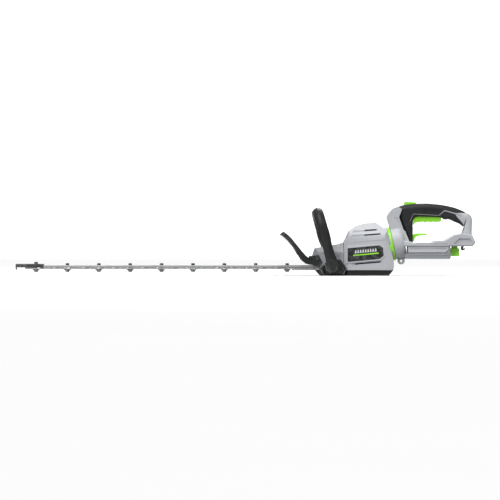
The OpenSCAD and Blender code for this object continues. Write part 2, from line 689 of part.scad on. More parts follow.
// Each screw's place [x, z] and how far its bosses reach to either side
handle_screw_at = [for (q = [[385, 160, 22.5], [548, 157, 15.5], [575, 118, 18.5], [560, 92, 20]])
  [q[0] > 515 ? q[0] + opening_dx : q[0], q[1], q[2]]];
// Where the core of the grip runs into the tower in front and into the column behind
front_link = [[392, 152], [404, 118], [413, 108], [424, 92], [430, 92], [430.2, 131], [434, 147],
  [434, 180], [409, 180], [398, 166]];
rear_link = back([[552, 138], [560, 131], [573, 136], [575, 152], [572, 156], [560, 163],
  [552, 166]]);
lug = [402.7, 37.6];

module trigger_room() {
  w = trigger_w + 0.8;
  block([post_x - 4.5, -w / 2, 126], [512, w / 2, 170]);
}

module lever_room() {
  block([416, -5.4, 85], [post_x + 2, 5.4, 114]);
  block([416.5, -5.4, 113], [431.5, 5.4, 121]);
}

module button_room() {
  block([409.5, -button_w / 2 - gap, 170], [442.5, button_w / 2 + gap, 200]);
}

module handle_shape() {
  difference() {
    union() {
      across(tower, 48);
      across(inset(grip, cover_t), core_w);
      across(front_link, core_w);
      across(rear_link, core_w);
      across(column, grip_w);
      intersection() {
        across(beam, beam_w);
        upright(back(both_sides([[400, beam_w / 2 - 8], [420, beam_w / 2], [520, beam_w / 2],
          [575, 24], [597, 22]])), 0, 200);
      }
      at_swivel() translate([0, 0, ring_t / 2 + gap]) cylinder(h = barrel_l, r = barrel_r);
      cross_rod(lug[0], lug[1], 9, -12, 12);
    }
    // hollows of the barrel, tower, grip, column and beam
    at_swivel() translate([0, 0, ring_t / 2 + gap + 5]) cylinder(h = barrel_l - 8, r = barrel_r - wall);
    across(inset(tower, wall), 48 - 2 * wall);
    across(inset(grip, cover_t + 2.5), cavity_w);
    across(inset(front_link, 3), cavity_w);
    across(inset(rear_link, 3), cavity_w);
    across(inset(column, wall), grip_w - 2 * wall);
    across(back([[424, beam_z + wall], [584, beam_z + wall], [590, 86], [582, 101], [558, 105],
      [541, 102.5], [512.6, 87.4], [488, 87.4], [480, 82.5], [424, 82.5]]), 2 * 19);
    trigger_room();
    lever_room();
    button_room();
    // running bore on the spigot and room for the lock pin
    at_swivel() translate([0, 0, 0]) cylinder(h = 20, r = spigot_r + run_c);
    at_swivel() translate([-lock_r, 0, 0]) cylinder(h = 60, r = lock_pin_r + run_c);
    cross_rod(lug[0], lug[1], 3, -20, 20);
    // slot and hollow for the battery latch
    block(latch_lo + [4 - gap, -9 - gap, 15], [latch_hi[0] - 4 + gap, 9 + gap, beam_z + 5]);
    cross_rod(trigger_pivot[0], trigger_pivot[1], 2, -30, 30);
    cross_rod(lever_pivot[0], lever_pivot[1], 1.5, -16, 16);
  }
}

latch_lo = [529 + opening_dx, -15, 49.5];
latch_hi = [552.5 + opening_dx, 15, 70.4];

module handle_bored() {
  difference() {
    union() {
      handle_shape();
      for (p = handle_screw_at) cross_rod(p[0], p[1], 4.8, -p[2], p[2]);
      // shelf under the lock-off button's spring
      block([417, -cavity_w / 2 - 1, 152.4], [431.2, cavity_w / 2 + 1, 155.2]);
    }
    for (p = handle_screw_at) {
      cross_rod(p[0], p[1], screw_r, -12, 12);
      cross_rod(p[0], p[1], screw_head_r + 0.3, 9, 40);
    }
  }
}

module handle_left() color("#b9bcc0") placed() side_only(1) handle_bored();

module handle_right() color("#b9bcc0") placed() side_only(-1) handle_bored();

module handle_screws() color("#222222") placed() for (p = handle_screw_at)
  translate([p[0], 9, p[1]]) rotate([-90, 0, 0]) screw(screw_head_r, 2.4, screw_r, 20);

// Soft cover moulded round the grip's core, open for the trigger, button and lever
module grip_cover() color("#1b1c1e") placed() difference() {
  across(grip, grip_w);
  across(inset(grip, cover_t), core_w);
  across(front_link, core_w);
  across(rear_link, core_w);
  for (p = [tower, column, beam]) across(p, 200);
  trigger_room();
  lever_room();
  button_room();
  for (p = handle_screw_at) cross_rod(p[0], p[1], screw_head_r + 0.3, 9, 40);
}

// Trigger: a long finger bar that hinges at its rear end
module trigger() color("limegreen") placed() difference() {
  union() {
    across([[post_x + 0.8, 130], [441, 137], [450, 138.6], [505, 138.6], [506, 149], [442.6, 150.6],
      [435.6, 145]], trigger_w);
    across([[440, 148], [507, 148], [509, 156], [503, 161], [440, 156]], trigger_w - 4);
  }
  cross_rod(trigger_pivot[0], trigger_pivot[1], 2 + run_c, -20, 20);
  across([[460, 152], [490, 152], [490, 170], [460, 170]], trigger_w - 8);
}

module trigger_pin() color("silver") placed()
  cross_rod(trigger_pivot[0], trigger_pivot[1], 2, -core_w / 2 + 0.2, core_w / 2 - 0.2);

module trigger_spring() color("#999999") placed() translate([452, 0, 157.6])
  coil_spring(3.4, 0.5, 22.2, 7);

module main_switch() color("#303030") placed() {
  block([466, -5, 163], [488, 5, 178]);
  block([474, -2.5, 161.4], [480, 2.5, 163]);
}

module lock_off_button() color("limegreen") placed() difference() {
  w = button_w;
  union() {
    across([[410, 181], [442, 181], [442, 188.6], [438, 190.6], [412, 191], [410, 189.4]], w);
    block([414, -w / 2 + 2, 170], [438, w / 2 - 2, 182]);
  }
  translate([426, 0, 169]) cylinder(h = 8, r = 4.4);
}

module lock_off_spring() color("#999999") placed() translate([426, 0, 155.4])
  coil_spring(3.2, 0.45, 21.2, 7);

// Release lever for the swivel lock, with its finger reaching into the opening
module swivel_lever() color("limegreen") placed() difference() {
  across([[421, 88], [430, 86.6], [435.5, 87.4], [439, 97], [447, 102.6], [469, 103.8], [469, 109],
    [444, 109.4], [435, 107.4], [430.6, 102], [424, 118], [419, 118], [419.6, 100]], 10);
  cross_rod(lever_pivot[0], lever_pivot[1], 1.5 + run_c, -20, 20);
}

module lever_pin() color("silver") placed()
  cross_rod(lever_pivot[0], lever_pivot[1], 1.5, -12, 12);

// Lock pin: slides along the swivel axis into one of the ring's stops
module lock_pin() color("silver") placed() at_swivel() translate([-lock_r, 0, ring_t / 2 + gap]) {
  cylinder(h = 43.2, r = lock_pin_r);
}

module lock_pin_spring() color("#999999") placed() at_swivel()
  translate([-lock_r, 0, ring_t / 2 + gap + 8]) coil_spring(4.2, 0.45, 14, 5);

// ---- battery dock ----

module battery_dock() color("#c3c6c9") placed() {
  across([[419, 73], [523, 73], [523, beam_z], [419, beam_z]], rail_w);
  for (s = [-1, 1]) translate([0, s * (rail_w / 2 - 3.5), 0])
    across([[419, 59], [514, 59], [523, 66], [523, 73], [419, 73]], 7);
}

module battery_rails() color("#6d7074") placed() for (s = [-1, 1]) {
  translate([0, s * (rail_w / 2 - 5.5), 0]) across([[419, 56.7], [512, 56.7], [512, 59], [419, 59]], 5);
  translate([0, s * (rail_w / 2 - 5), 0])
    across([[412, 43], [527, 43], [529, 46], [529, 56.7], [412, 56.7]], 10);
}

module terminal_block() color("#222326") placed()
  block([419, -22, 50], [431, 22, 73]);

module terminal_blades() color("#c9a24a") placed() for (y = [-14, -5, 5, 14])
  block([431, y - 0.6, 56], [443, y + 0.6, 69]);

module battery_latch() color("limegreen") placed() {
  across([[latch_lo[0], latch_lo[2]], [latch_hi[0], latch_lo[2]], [latch_hi[0], latch_hi[2]],
    [latch_lo[0], latch_hi[2]]], latch_hi[1] - latch_lo[1]);
  block([latch_lo[0] + 4, -9, latch_hi[2]], [latch_hi[0] - 4, 9, 84]);
}

module latch_spring() color("#999999") placed()
  translate([(latch_lo[0] + latch_hi[0]) / 2, 0, 84.2]) coil_spring(4, 0.5, 14.6, 5);

module rear_hook() color("#3c3c3e") placed()
  across(back([[557, 75.4], [558, 66], [562, 64], [569, 68], [567, 70.5], [563, 69], [565, 75.4]]), 12);

support_bar();
upper_blade();
lower_blade();
blade_bolts();
blade_spacers();
blade_nuts();
tip_guard();
lower_guide_plate();
gear_case();
skid_cover();
crank_gear();
crank_shaft();
crank_bearings();
gearbox_plate();
pinion();
motor_shaft();
rotor();
stator_core();
stator_windings();
motor_bearings();
motor_end_bracket();
cooling_fan();
controller_board();
heat_sink();
housing_left();
housing_right();
badge_plates();
housing_screws();
hand_guard();
guard_screws();
front_handle();
handle_boots();
boot_screws();
swivel_spigot();
swivel_ring();
ring_screws();
swivel_retainer();
handle_left();
handle_right();
grip_cover();
handle_screws();
trigger();
trigger_pin();
trigger_spring();
main_switch();
lock_off_button();
lock_off_spring();
swivel_lever();
lever_pin();
lock_pin();
lock_pin_spring();
battery_dock();
battery_rails();
terminal_block();
terminal_blades();
battery_latch();
latch_spring();
rear_hook();
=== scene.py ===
"""Looks of a battery hedge trimmer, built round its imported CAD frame."""

import json
import math

import bmesh
import bpy
from bpy.props import FloatProperty, FloatVectorProperty, PointerProperty
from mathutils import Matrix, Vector


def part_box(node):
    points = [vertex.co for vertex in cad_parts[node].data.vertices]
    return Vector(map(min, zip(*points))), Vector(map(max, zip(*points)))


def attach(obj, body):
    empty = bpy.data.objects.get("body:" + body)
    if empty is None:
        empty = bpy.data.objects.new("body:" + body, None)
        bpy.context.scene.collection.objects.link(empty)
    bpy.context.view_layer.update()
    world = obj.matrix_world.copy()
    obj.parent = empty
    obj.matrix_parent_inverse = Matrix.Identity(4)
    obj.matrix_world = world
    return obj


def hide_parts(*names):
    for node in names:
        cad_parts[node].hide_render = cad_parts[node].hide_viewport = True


bl_info = {
    "name": "Hedge Trimmer Looks",
    "version": (1, 0, 0),
    "blender": (4, 5, 0),
    "location": "View3D > Sidebar > Trimmer",
    "description": "Builds the visible pieces and finishes of a battery hedge trimmer round its CAD frame",
    "category": "Object",
}

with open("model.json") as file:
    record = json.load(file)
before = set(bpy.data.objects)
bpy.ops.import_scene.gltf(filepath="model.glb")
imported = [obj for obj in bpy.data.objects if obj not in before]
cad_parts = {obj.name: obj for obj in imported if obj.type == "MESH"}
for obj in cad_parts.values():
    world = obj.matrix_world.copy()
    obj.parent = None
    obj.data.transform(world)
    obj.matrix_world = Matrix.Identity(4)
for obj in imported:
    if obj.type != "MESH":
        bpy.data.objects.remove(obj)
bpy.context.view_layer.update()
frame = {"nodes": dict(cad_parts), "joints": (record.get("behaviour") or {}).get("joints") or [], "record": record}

MM = 0.001
UP = Vector((0, 0, 1))
WIDE = 60                              # half width of a cutter that spans the whole tool
PARTING = 0.12                         # half the gap between two shell halves


# ---------------------------------------------------------------- places, from the frame, in millimetres


def low(node):
    """Lowest corner of a CAD node, in millimetres."""
    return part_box(node)[0] / MM


def high(node):
    """Highest corner of a CAD node, in millimetres."""
    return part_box(node)[1] / MM


NOSE_X = low("gear_case").x            # front face of the gear case
HOUSE_X = low("housing_left").x        # joint between gear case and motor housing
DATUM = NOSE_X - 173                   # outlines below are drawn with the gear case's front at 173
NOSE_HALF = high("gear_case").y
CASE_HALF = high("housing_left").y
BAR_LOW, BAR_TOP = low("support_bar").z, high("support_bar").z
BAR_HALF = high("support_bar").y
BOLT_R = 5.0
HEX_TURN = 0.06                        # keeps a hexagon's corners off the facets of a round solid
FIRST_BOLT = low("blade_bolts").x + BOLT_R
LAST_BOLT = high("blade_bolts").x - BOLT_R
BOLT_STEP = (LAST_BOLT - FIRST_BOLT) / 8
BOLT_XS = [FIRST_BOLT + i * BOLT_STEP for i in range(9)]
TEETH = 17
TOOTH_PITCH = (LAST_BOLT - FIRST_BOLT) / TEETH
TOOTH_REACH = high("upper_blade").y
THROW = TOOTH_PITCH / 4
RAIL_HALF = high("battery_rails").y
GRIP_HALF = high("grip_cover").y
BEAM_HALF = high("handle_left").y

SWIVEL = next(j for j in frame["joints"] if j["name"] == "handle_swivel")
SWIVEL_AT = Vector(SWIVEL["pos_m"]) / MM
SWIVEL_AXIS = Vector(SWIVEL["axis"]).normalized()
RING_R = high("swivel_ring").y
RING_T = 8.0                           # the swivel ring's length along its axis


# ---------------------------------------------------------------- shader expressions


class Value:
    """One output of a shader node; arithmetic on it adds Math nodes."""

    def __init__(self, recipe, socket):
        self.recipe, self.socket = recipe, socket

    def _math(self, operation, first, second):
        node = self.recipe.node("ShaderNodeMath", {"operation": operation}, {0: first, 1: second})
        return Value(self.recipe, node.outputs[0])

    def __add__(self, other):
        return self._math("ADD", self, other)

    def __radd__(self, other):
        return self._math("ADD", other, self)

    def __sub__(self, other):
        return self._math("SUBTRACT", self, other)

    def __rsub__(self, other):
        return self._math("SUBTRACT", other, self)

    def __mul__(self, other):
        return self._math("MULTIPLY", self, other)

    def __rmul__(self, other):
        return self._math("MULTIPLY", other, self)

    def __truediv__(self, other):
        return self._math("DIVIDE", self, other)

    def __pow__(self, other):
        return self._math("POWER", self, other)

    def step(self, start, end):
        """0 below start, 1 above end, and smooth between."""
        node = self.recipe.node(
            "ShaderNodeMapRange", {"interpolation_type": "SMOOTHSTEP"},
            {"Value": self, "From Min": start, "From Max": end})
        return Value(self.recipe, node.outputs[0])


class Recipe:
    """A material under construction, with one Principled shader."""

    def __init__(self, name):
        self.material = bpy.data.materials.new(name)
        self.material.use_nodes = True
        self.tree = self.material.node_tree
        self.tree.nodes.clear()
        self.shader = self.node("ShaderNodeBsdfPrincipled")
        self.node("ShaderNodeOutputMaterial", {}, {"Surface": self.shader.outputs[0]})
        self.place = self.node("ShaderNodeTexCoord").outputs["Object"]

    def node(self, kind, settings=None, sockets=None):
        """Adds a node: its settings first, then the values or links of its sockets."""
        made = self.tree.nodes.new(kind)
        for key, value in (settings or {}).items():
            setattr(made, key, value)
        for key, value in (sockets or {}).items():
            self.feed(made.inputs[key], value)
        return made

    def feed(self, socket, value):
        if isinstance(value, Value):
            self.tree.links.new(value.socket, socket)
        elif isinstance(value, bpy.types.NodeSocket):
            self.tree.links.new(value, socket)
        else:
            socket.default_value = value

    def noise(self, scale, detail=3.0, stretch=None, rough=0.55):
        """Noise of a given scale per metre, stretched by a factor along each axis."""
        place = self.place
        if stretch:
            place = self.node("ShaderNodeMapping", {}, {"Vector": place, "Scale": stretch}).outputs[0]
        node = self.node("ShaderNodeTexNoise", {},
                         {"Vector": place, "Scale": scale, "Detail": detail, "Roughness": rough})
        return Value(self, node.outputs[0])

    def cells(self, scale):
        """Distance to the nearest cell centre, for pebbled grain."""
        node = self.node("ShaderNodeTexVoronoi", {}, {"Vector": self.place, "Scale": scale})
        return Value(self, node.outputs["Distance"])

    def edges(self, start=0.515, end=0.56):
        """1 along outward edges and 0 elsewhere."""
        node = self.node("ShaderNodeNewGeometry")
        return Value(self, node.outputs["Pointiness"]).step(start, end)

    def upward(self):
        """1 on surfaces that face up."""
        normal = self.node("ShaderNodeNewGeometry").outputs["Normal"]
        parts = self.node("ShaderNodeSeparateXYZ", {}, {0: normal})
        return Value(self, parts.outputs[2]).step(0.2, 0.95)

    def mix(self, factor, first, second):
        """A colour between two colours."""
        node = self.node("ShaderNodeMix", {"data_type": "RGBA"}, {0: factor, 6: first, 7: second})
        return node.outputs[2]

    def bump(self, height, distance, strength=1.0, under=None):
        sockets = {"Height": height, "Distance": distance, "Strength": strength}
        if under is not None:
            sockets["Normal"] = under
        return self.node("ShaderNodeBump", {}, sockets).outputs[0]

    def finish(self, colour, roughness, normal=None, metallic=0.0, coat=0.0, coat_rough=0.1, ior=1.5):
        ins = self.shader.inputs
        self.feed(ins["Base Color"], colour)
        self.feed(ins["Roughness"], roughness)
        self.feed(ins["Metallic"], metallic)
        ins["Coat Weight"].default_value = coat
        ins["Coat Roughness"].default_value = coat_rough
        ins["IOR"].default_value = ior
        if normal is not None:
            self.feed(ins["Normal"], normal)
        return self.material


def shade(colour, factor):
    """A colour multiplied by a factor, with full alpha."""
    return (*[min(1.0, c * factor) for c in colour[:3]], 1.0)


# ---------------------------------------------------------------- finishes


def moulded_plastic(name, colour, gloss_rough, grain=0.00004, grain_scale=1400, coat=0.0, wear=0.35, ior=1.5):
    """Spark-eroded mould texture, slight flow marks, dust on top faces and paler rubbed edges."""
    r = Recipe(name)
    flow = r.noise(7, 4)
    speck = r.noise(260, 2)
    fine = r.noise(grain_scale, 2)
    rubbed = r.edges() * r.noise(90, 5).step(0.42, 0.62) * wear
    dust = r.upward() * r.noise(34, 6).step(0.45, 0.72) * 0.10
    base = r.mix(flow.step(0.3, 0.7), shade(colour, 0.93), shade(colour, 1.06))
    base = r.mix(speck.step(0.55, 0.75) * 0.25, base, shade(colour, 0.86))
    base = r.mix(rubbed, base, shade([c * 0.6 + 0.22 for c in colour], 1.1))
    base = r.mix(dust, base, (0.42, 0.40, 0.36, 1.0))
    rough = gloss_rough + (flow - 0.5) * 0.12 + (speck - 0.5) * 0.10 + dust * 0.9 - rubbed * 0.15
    return r.finish(base, rough, r.bump(fine, grain), coat=coat, ior=ior)


def soft_rubber(name, colour):
    """Matt overmould with a pebbled grain, shiny where hands polish its edges."""
    r = Recipe(name)
    pebbles = r.cells(620)
    handled = r.noise(16, 4).step(0.35, 0.7)
    polish = r.edges(0.51, 0.55) * 0.5
    base = r.mix(handled, shade(colour, 0.8), shade(colour, 1.25))
    base = r.mix(pebbles.step(0.25, 0.75) * 0.35, base, shade(colour, 1.7))
    base = r.mix(r.upward() * r.noise(40, 6).step(0.5, 0.75) * 0.12, base, (0.25, 0.24, 0.22, 1.0))
    rough = 0.5 + (handled - 0.5) * 0.14 - polish * 0.3 + (r.noise(500) - 0.5) * 0.1
    return r.finish(base, rough, r.bump(pebbles, 0.00012, 0.7), ior=1.34)


def ground_steel(name, colour, rough, direction, oily=0.3):
    """Ground or rolled steel: fine lines along one axis, oil film and faint rust specks."""
    r = Recipe(name)
    lines = r.noise(60, 6, stretch=direction)
    film = r.noise(12, 5).step(0.4, 0.65) * oily
    specks = r.noise(320, 3).step(0.68, 0.76) * r.noise(25, 3).step(0.45, 0.6)
    base = r.mix(lines.step(0.3, 0.7), shade(colour, 0.82), shade(colour, 1.12))
    base = r.mix(film, base, shade([colour[0] * 0.78, colour[1] * 0.74, colour[2] * 0.66], 1.0))
    base = r.mix(specks * 0.55, base, (0.16, 0.08, 0.045, 1.0))
    value = rough + (lines - 0.5) * 0.22 + film * 0.18 + specks * 0.3
    metal = 1.0 - specks * 0.7
    return r.finish(base, value, r.bump(lines, 0.00003), metallic=metal)


def dark_metal(name, colour, rough=0.42):
    """Black oxide: nearly black, worn to steel on the corners."""
    r = Recipe(name)
    bloom = r.noise(120, 4)
    worn = r.edges() * r.noise(200, 4).step(0.4, 0.6) * 0.6
    base = r.mix(bloom.step(0.3, 0.7), shade(colour, 0.8), shade(colour, 1.5))
    base = r.mix(worn, base, (0.35, 0.34, 0.33, 1.0))
    value = rough + (bloom - 0.5) * 0.25 - worn * 0.1
    return r.finish(base, value, r.bump(r.noise(1500), 0.00003), metallic=0.75)


def cast_metal(name, colour, rough=0.5):
    """Die-cast alloy with an orange-peel skin."""
    r = Recipe(name)
    peel = r.noise(420, 4)
    stain = r.noise(22, 4)
    base = r.mix(stain.step(0.3, 0.7), shade(colour, 0.84), shade(colour, 1.08))
    value = rough + (stain - 0.5) * 0.2 + (peel - 0.5) * 0.1
    return r.finish(base, value, r.bump(peel, 0.00008), metallic=0.9)


def wound_wire(name, colour):
    """Enamelled wire laid in turns."""
    r = Recipe(name)
    turns = r.noise(40, 2, stretch=(1, 1, 30))
    base = r.mix(turns.step(0.3, 0.7), shade(colour, 0.55), shade(colour, 1.2))
    return r.finish(base, 0.35 + (turns - 0.5) * 0.2, r.bump(turns, 0.0003), metallic=0.6, coat=0.5)


def printed_board(name, colour):
    """Solder-masked board with a faint track pattern."""
    r = Recipe(name)
    tracks = r.noise(220, 1, stretch=(1, 6, 1)).step(0.5, 0.54)
    base = r.mix(tracks * 0.5, shade(colour, 1.0), shade(colour, 1.9))
    return r.finish(base, 0.4 - tracks * 0.1, r.bump(tracks, 0.00005), coat=0.4)


FINISHES = {}


def make_finishes(looks):
    """Every finish, under the name that pieces ask for."""
    silver, nose = tuple(looks.shell_colour), tuple(looks.nose_colour)
    green, black = tuple(looks.green_colour), tuple(looks.black_colour)
    dark = (0.035, 0.036, 0.039)
    FINISHES.update({
        "shell_silver": moulded_plastic("silver shell", silver, 0.40, wear=0.25),
        "nose_silver": moulded_plastic("dark silver nose", nose, 0.42, wear=0.3),
        "black_plastic": moulded_plastic("black moulding", black, 0.33, grain=0.00005, wear=0.22, ior=1.36),
        "dark_grey_plastic": moulded_plastic("dark grey moulding", dark, 0.45, wear=0.25, ior=1.4),
        "rail_grey": moulded_plastic("rail grey", (0.25, 0.26, 0.275), 0.42, wear=0.2),
        # also worn by the pale strips on the boots' edges, which are painted highlights
        "light_grey_plastic": moulded_plastic("accent and highlight grey", (0.34, 0.35, 0.37), 0.38, wear=0.1),
        "white_print": moulded_plastic("plate motif", (0.62, 0.63, 0.64), 0.35, wear=0.05),
        "soft_grip": soft_rubber("soft cover", black),
        "green_plastic": moulded_plastic("green moulding", green, 0.30, grain=0.00002, coat=0.25, wear=0.15),
        "blade_steel": ground_steel("blade steel", (0.60, 0.60, 0.60), 0.30, (9, 0.6, 9)),
        "bar_steel": ground_steel("zinc plated bar", (0.40, 0.405, 0.41), 0.48, (0.5, 12, 12), 0.15),
        "bright_steel": ground_steel("bright steel", (0.66, 0.66, 0.66), 0.22, (6, 6, 0.5), 0.1),
        "gear_steel": ground_steel("hardened steel", (0.34, 0.345, 0.36), 0.34, (4, 4, 4), 0.5),
        "laminations": ground_steel("laminated core", (0.30, 0.30, 0.31), 0.45, (0.5, 0.5, 40), 0.2),
        "black_steel": dark_metal("black oxide steel", (0.03, 0.03, 0.033)),
        "cast_aluminium": cast_metal("die cast alloy", (0.58, 0.59, 0.60)),
        "copper_wire": wound_wire("winding wire", (0.50, 0.19, 0.06)),
        "contact_brass": ground_steel("contact metal", (0.62, 0.45, 0.18), 0.3, (3, 3, 3), 0.1),
        "circuit_board": printed_board("control board", (0.03, 0.13, 0.05)),
    })


# ---------------------------------------------------------------- solids


def inset(points, depth):
    """A counter-clockwise outline drawn in by a depth, corner by corner."""
    made = []
    count = len(points)
    for i in range(count):
        a, b, c = (Vector(points[(i + k) % count]) for k in (-1, 0, 1))
        first, second = (b - a).normalized(), (c - b).normalized()
        n1, n2 = Vector((-first.y, first.x)), Vector((-second.y, second.x))
        made.append(tuple(b + (n1 + n2) * depth / (1 + n1.dot(n2))))
    return made


def both_sides(points):
    """An [x, y] outline from its +Y side, mirrored into a closed one."""
    return [(x, -y) for x, y in points] + [(x, y) for x, y in reversed(points)]


class Solid:
    """A closed mesh under construction. Outlines are in millimetres from the casing's datum."""

    def __init__(self, verts, faces):
        mesh = bpy.data.meshes.new("solid")
        mesh.from_pydata([((x + DATUM) * MM, y * MM, z * MM) for x, y, z in verts], [], faces)
        self.obj = bpy.data.objects.new("solid", mesh)
        bpy.context.scene.collection.objects.link(self.obj)
        self._face_outwards()

    def _face_outwards(self):
        made = bmesh.new()
        made.from_mesh(self.obj.data)
        bmesh.ops.recalc_face_normals(made, faces=made.faces)
        made.to_mesh(self.obj.data)
        made.free()

    @classmethod
    def _prism(cls, points, put, start, end):
        count = len(points)
        verts = [put(a, b, start) for a, b in points] + [put(a, b, end) for a, b in points]
        faces = [(i, (i + 1) % count, count + (i + 1) % count, count + i) for i in range(count)]
        return cls(verts, faces + [tuple(range(count))[::-1], tuple(range(count, 2 * count))])

    @classmethod
    def across(cls, points, y0=-WIDE, y1=WIDE):
        """An [x, z] outline from one Y to another."""
        return cls._prism(points, lambda a, b, c: (a, c, b), y0, y1)

    @classmethod
    def on_side(cls, points, side, near, far):
        """An [x, z] outline between two distances from the middle, on one side (1 or -1)."""
        return cls.across(points, *sorted((side * near, side * far)))

    @classmethod
    def upright(cls, points, z0, z1):
        """An [x, y] outline from one height to another."""
        return cls._prism(points, lambda a, b, c: (a, b, c), z0, z1)

    @classmethod
    def along(cls, points, x0, x1):
        """A [y, z] outline along the tool."""
        return cls._prism(points, lambda a, b, c: (c, a, b), x0, x1)

    @classmethod
    def block(cls, lo, hi):
        outline = [(lo[0], lo[1]), (hi[0], lo[1]), (hi[0], hi[1]), (lo[0], hi[1])]
        return cls.upright(outline, lo[2], hi[2])

    @classmethod
    def skin(cls, rings, closed_ends=True, loop=False):
        """Rings of points joined into a tube."""
        count, n = len(rings), len(rings[0])
        last = count if loop else count - 1
        faces = []
        for i in range(last):
            here, there = i * n, (i + 1) % count * n
            faces += [(here + k, here + (k + 1) % n, there + (k + 1) % n, there + k) for k in range(n)]
        if closed_ends and not loop:
            faces += [tuple(range(n))[::-1], tuple(range((count - 1) * n, count * n))]
        return cls([p for ring in rings for p in ring], faces)

    @classmethod
    def lathe(cls, profile, centre, axis, steps=48, start=0.0):
        """A (radius, along) profile turned about an axis, closed flat at both ends."""
        axis = Vector(axis).normalized()
        side = axis.orthogonal().normalized()
        up = axis.cross(side)
        turns = [start + 2 * math.pi * i / steps for i in range(steps)]
        spokes = [side * math.cos(a) + up * math.sin(a) for a in turns]
        return cls.skin([[tuple(Vector(centre) + axis * along + spoke * radius) for spoke in spokes]
                         for radius, along in profile])

    @classmethod
    def rod(cls, centre, axis, radius, length, steps=40, chamfer=0.0):
        """A cylinder from a centre along an axis, its ends eased by a chamfer."""
        c = chamfer
        profile = [(radius, 0), (radius, length)]
        if c:
            profile = [(radius - c, 0), (radius, c), (radius, length - c), (radius - c, length)]
        return cls.lathe(profile, centre, axis, steps)

    @classmethod
    def hexagon(cls, centre, axis, radius, length):
        """A six-sided rod from a centre along an axis."""
        return cls.lathe([(radius, 0), (radius, length)], centre, axis, 6, HEX_TURN)

    def _bake(self):
        graph = bpy.context.evaluated_depsgraph_get()
        mesh = bpy.data.meshes.new_from_object(self.obj.evaluated_get(graph))
        old = self.obj.data
        self.obj.modifiers.clear()
        self.obj.data = mesh
        bpy.data.meshes.remove(old)
        return self

    def _combine(self, others, operation):
        for other in others:
            change = self.obj.modifiers.new("combine", "BOOLEAN")
            change.operation, change.solver, change.object = operation, "EXACT", other.obj
        self._bake()
        for other in others:
            other.discard()
        return self

    def cut(self, *others):
        return self._combine(others, "DIFFERENCE")

    def add(self, *others):
        return self._combine(others, "UNION")

    def keep(self, *others):
        return self._combine(others, "INTERSECT")

    def soften(self, width, segments=3, angle=28.0):
        """Rounds the edges that are sharper than an angle."""
        change = self.obj.modifiers.new("soften", "BEVEL")
        change.width, change.segments = width * MM, segments
        change.limit_method, change.angle_limit = "ANGLE", math.radians(angle)
        return self._bake()

    def copy(self):
        twin = Solid([], [])
        old = twin.obj.data
        twin.obj.data = self.obj.data.copy()
        bpy.data.meshes.remove(old)
        return twin

    def discard(self):
        mesh = self.obj.data
        bpy.data.objects.remove(self.obj)
        bpy.data.meshes.remove(mesh)

    def piece(self, name, body, finish, slot=None, replaces=(), crease=40.0):
        """Turns the solid into a named, finished piece that rides on a body."""
        obj = self.obj
        obj.name = obj.data.name = name
        made = bmesh.new()
        made.from_mesh(obj.data)
        bmesh.ops.remove_doubles(made, verts=made.verts, dist=0.000002)
        bmesh.ops.dissolve_degenerate(made, edges=made.edges, dist=0.000001)
        made.to_mesh(obj.data)
        made.free()
        obj.data.shade_smooth()
        obj.data.set_sharp_from_angle(angle=math.radians(crease))
        weighting = obj.modifiers.new("even normals", "WEIGHTED_NORMAL")
        weighting.keep_sharp = True
        obj.data.materials.clear()
        obj.data.materials.append(FINISHES[finish])
        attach(obj, body)
        for node in replaces:
            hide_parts(node)
        return obj


def joined(solids):
    """One solid from several that don't touch."""
    first, rest = solids[0], solids[1:]
    made = bmesh.new()
    made.from_mesh(first.obj.data)
    for other in rest:
        made.from_mesh(other.obj.data)
        other.discard()
    made.to_mesh(first.obj.data)
    made.free()
    return first


def grow(outline, width):
    """A counter-clockwise outline drawn outwards."""
    return inset(outline, -width)


def ribbon(points, widths):
    """The outline of a band that follows a line of points with a width at each."""
    left, right = [], []
    for i, at in enumerate(points):
        before, after = neighbours(points, i)
        d = (Vector(after) - Vector(before)).normalized()
        n = Vector((-d.y, d.x)) * widths[i] / 2
        left.append(tuple(Vector(at) + n))
        right.append(tuple(Vector(at) - n))
    return right + left[::-1]


def halves(shell, x0, x1):
    """The left and the right half of a shell, apart by the parting gap."""
    left = shell.copy().keep(Solid.block((x0, PARTING, 0), (x1, 80, 300)))
    right = shell.keep(Solid.block((x0, -80, 0), (x1, -PARTING, 300)))
    return left, right


def screw_head(centre, axis, radius, height):
    """A low round head with a star-like six-sided recess."""
    e = height * 0.25
    centre, axis = Vector(centre), Vector(axis)
    profile = [(radius, 0), (radius, height - 2 * e), (radius - e, height - e * 0.4), (radius * 0.6, height)]
    head = Solid.lathe(profile, centre, axis, 32)
    return head.cut(Solid.hexagon(centre + axis * height * 0.45, axis, radius * 0.5, height))


def squared_turn(angle, power):
    """The cosine and sine of an angle, squared off by a power under one."""
    c, s = math.cos(angle), math.sin(angle)
    return math.copysign(abs(c) ** power, c), math.copysign(abs(s) ** power, s)


def neighbours(line, i):
    """The points before and after one point of a line, which repeats its ends."""
    return line[max(i - 1, 0)], line[min(i + 1, len(line) - 1)]


def tube_rings(line, radius, sides=28):
    """Rings round a line of (point, radius factor) that lies in the front loop's plane."""
    turns = [2 * math.pi * k / sides for k in range(sides)]
    rings = []
    for i, (centre, factor) in enumerate(line):
        (before, _), (after, _) = neighbours(line, i)
        other = (after - before).normalized().cross(LOOP_NORMAL).normalized()
        rings.append([tuple(centre + (LOOP_NORMAL * math.cos(a) + other * math.sin(a)) * radius * factor)
                      for a in turns])
    return rings


# ---------------------------------------------------------------- blades


def tooth_outline(x, side):
    """A blunt-tipped tooth with eased roots, its points in +X order."""
    root, tip = BAR_HALF, TOOTH_REACH
    half = [(10.2, root), (8.4, root + 0.9), (7.4, root + 3.2),
            (4.3, tip - 4.2), (3.7, tip - 1.8), (2.3, tip)]
    return [(x - a, side * b) for a, b in half] + [(x + a, side * b) for a, b in reversed(half)]


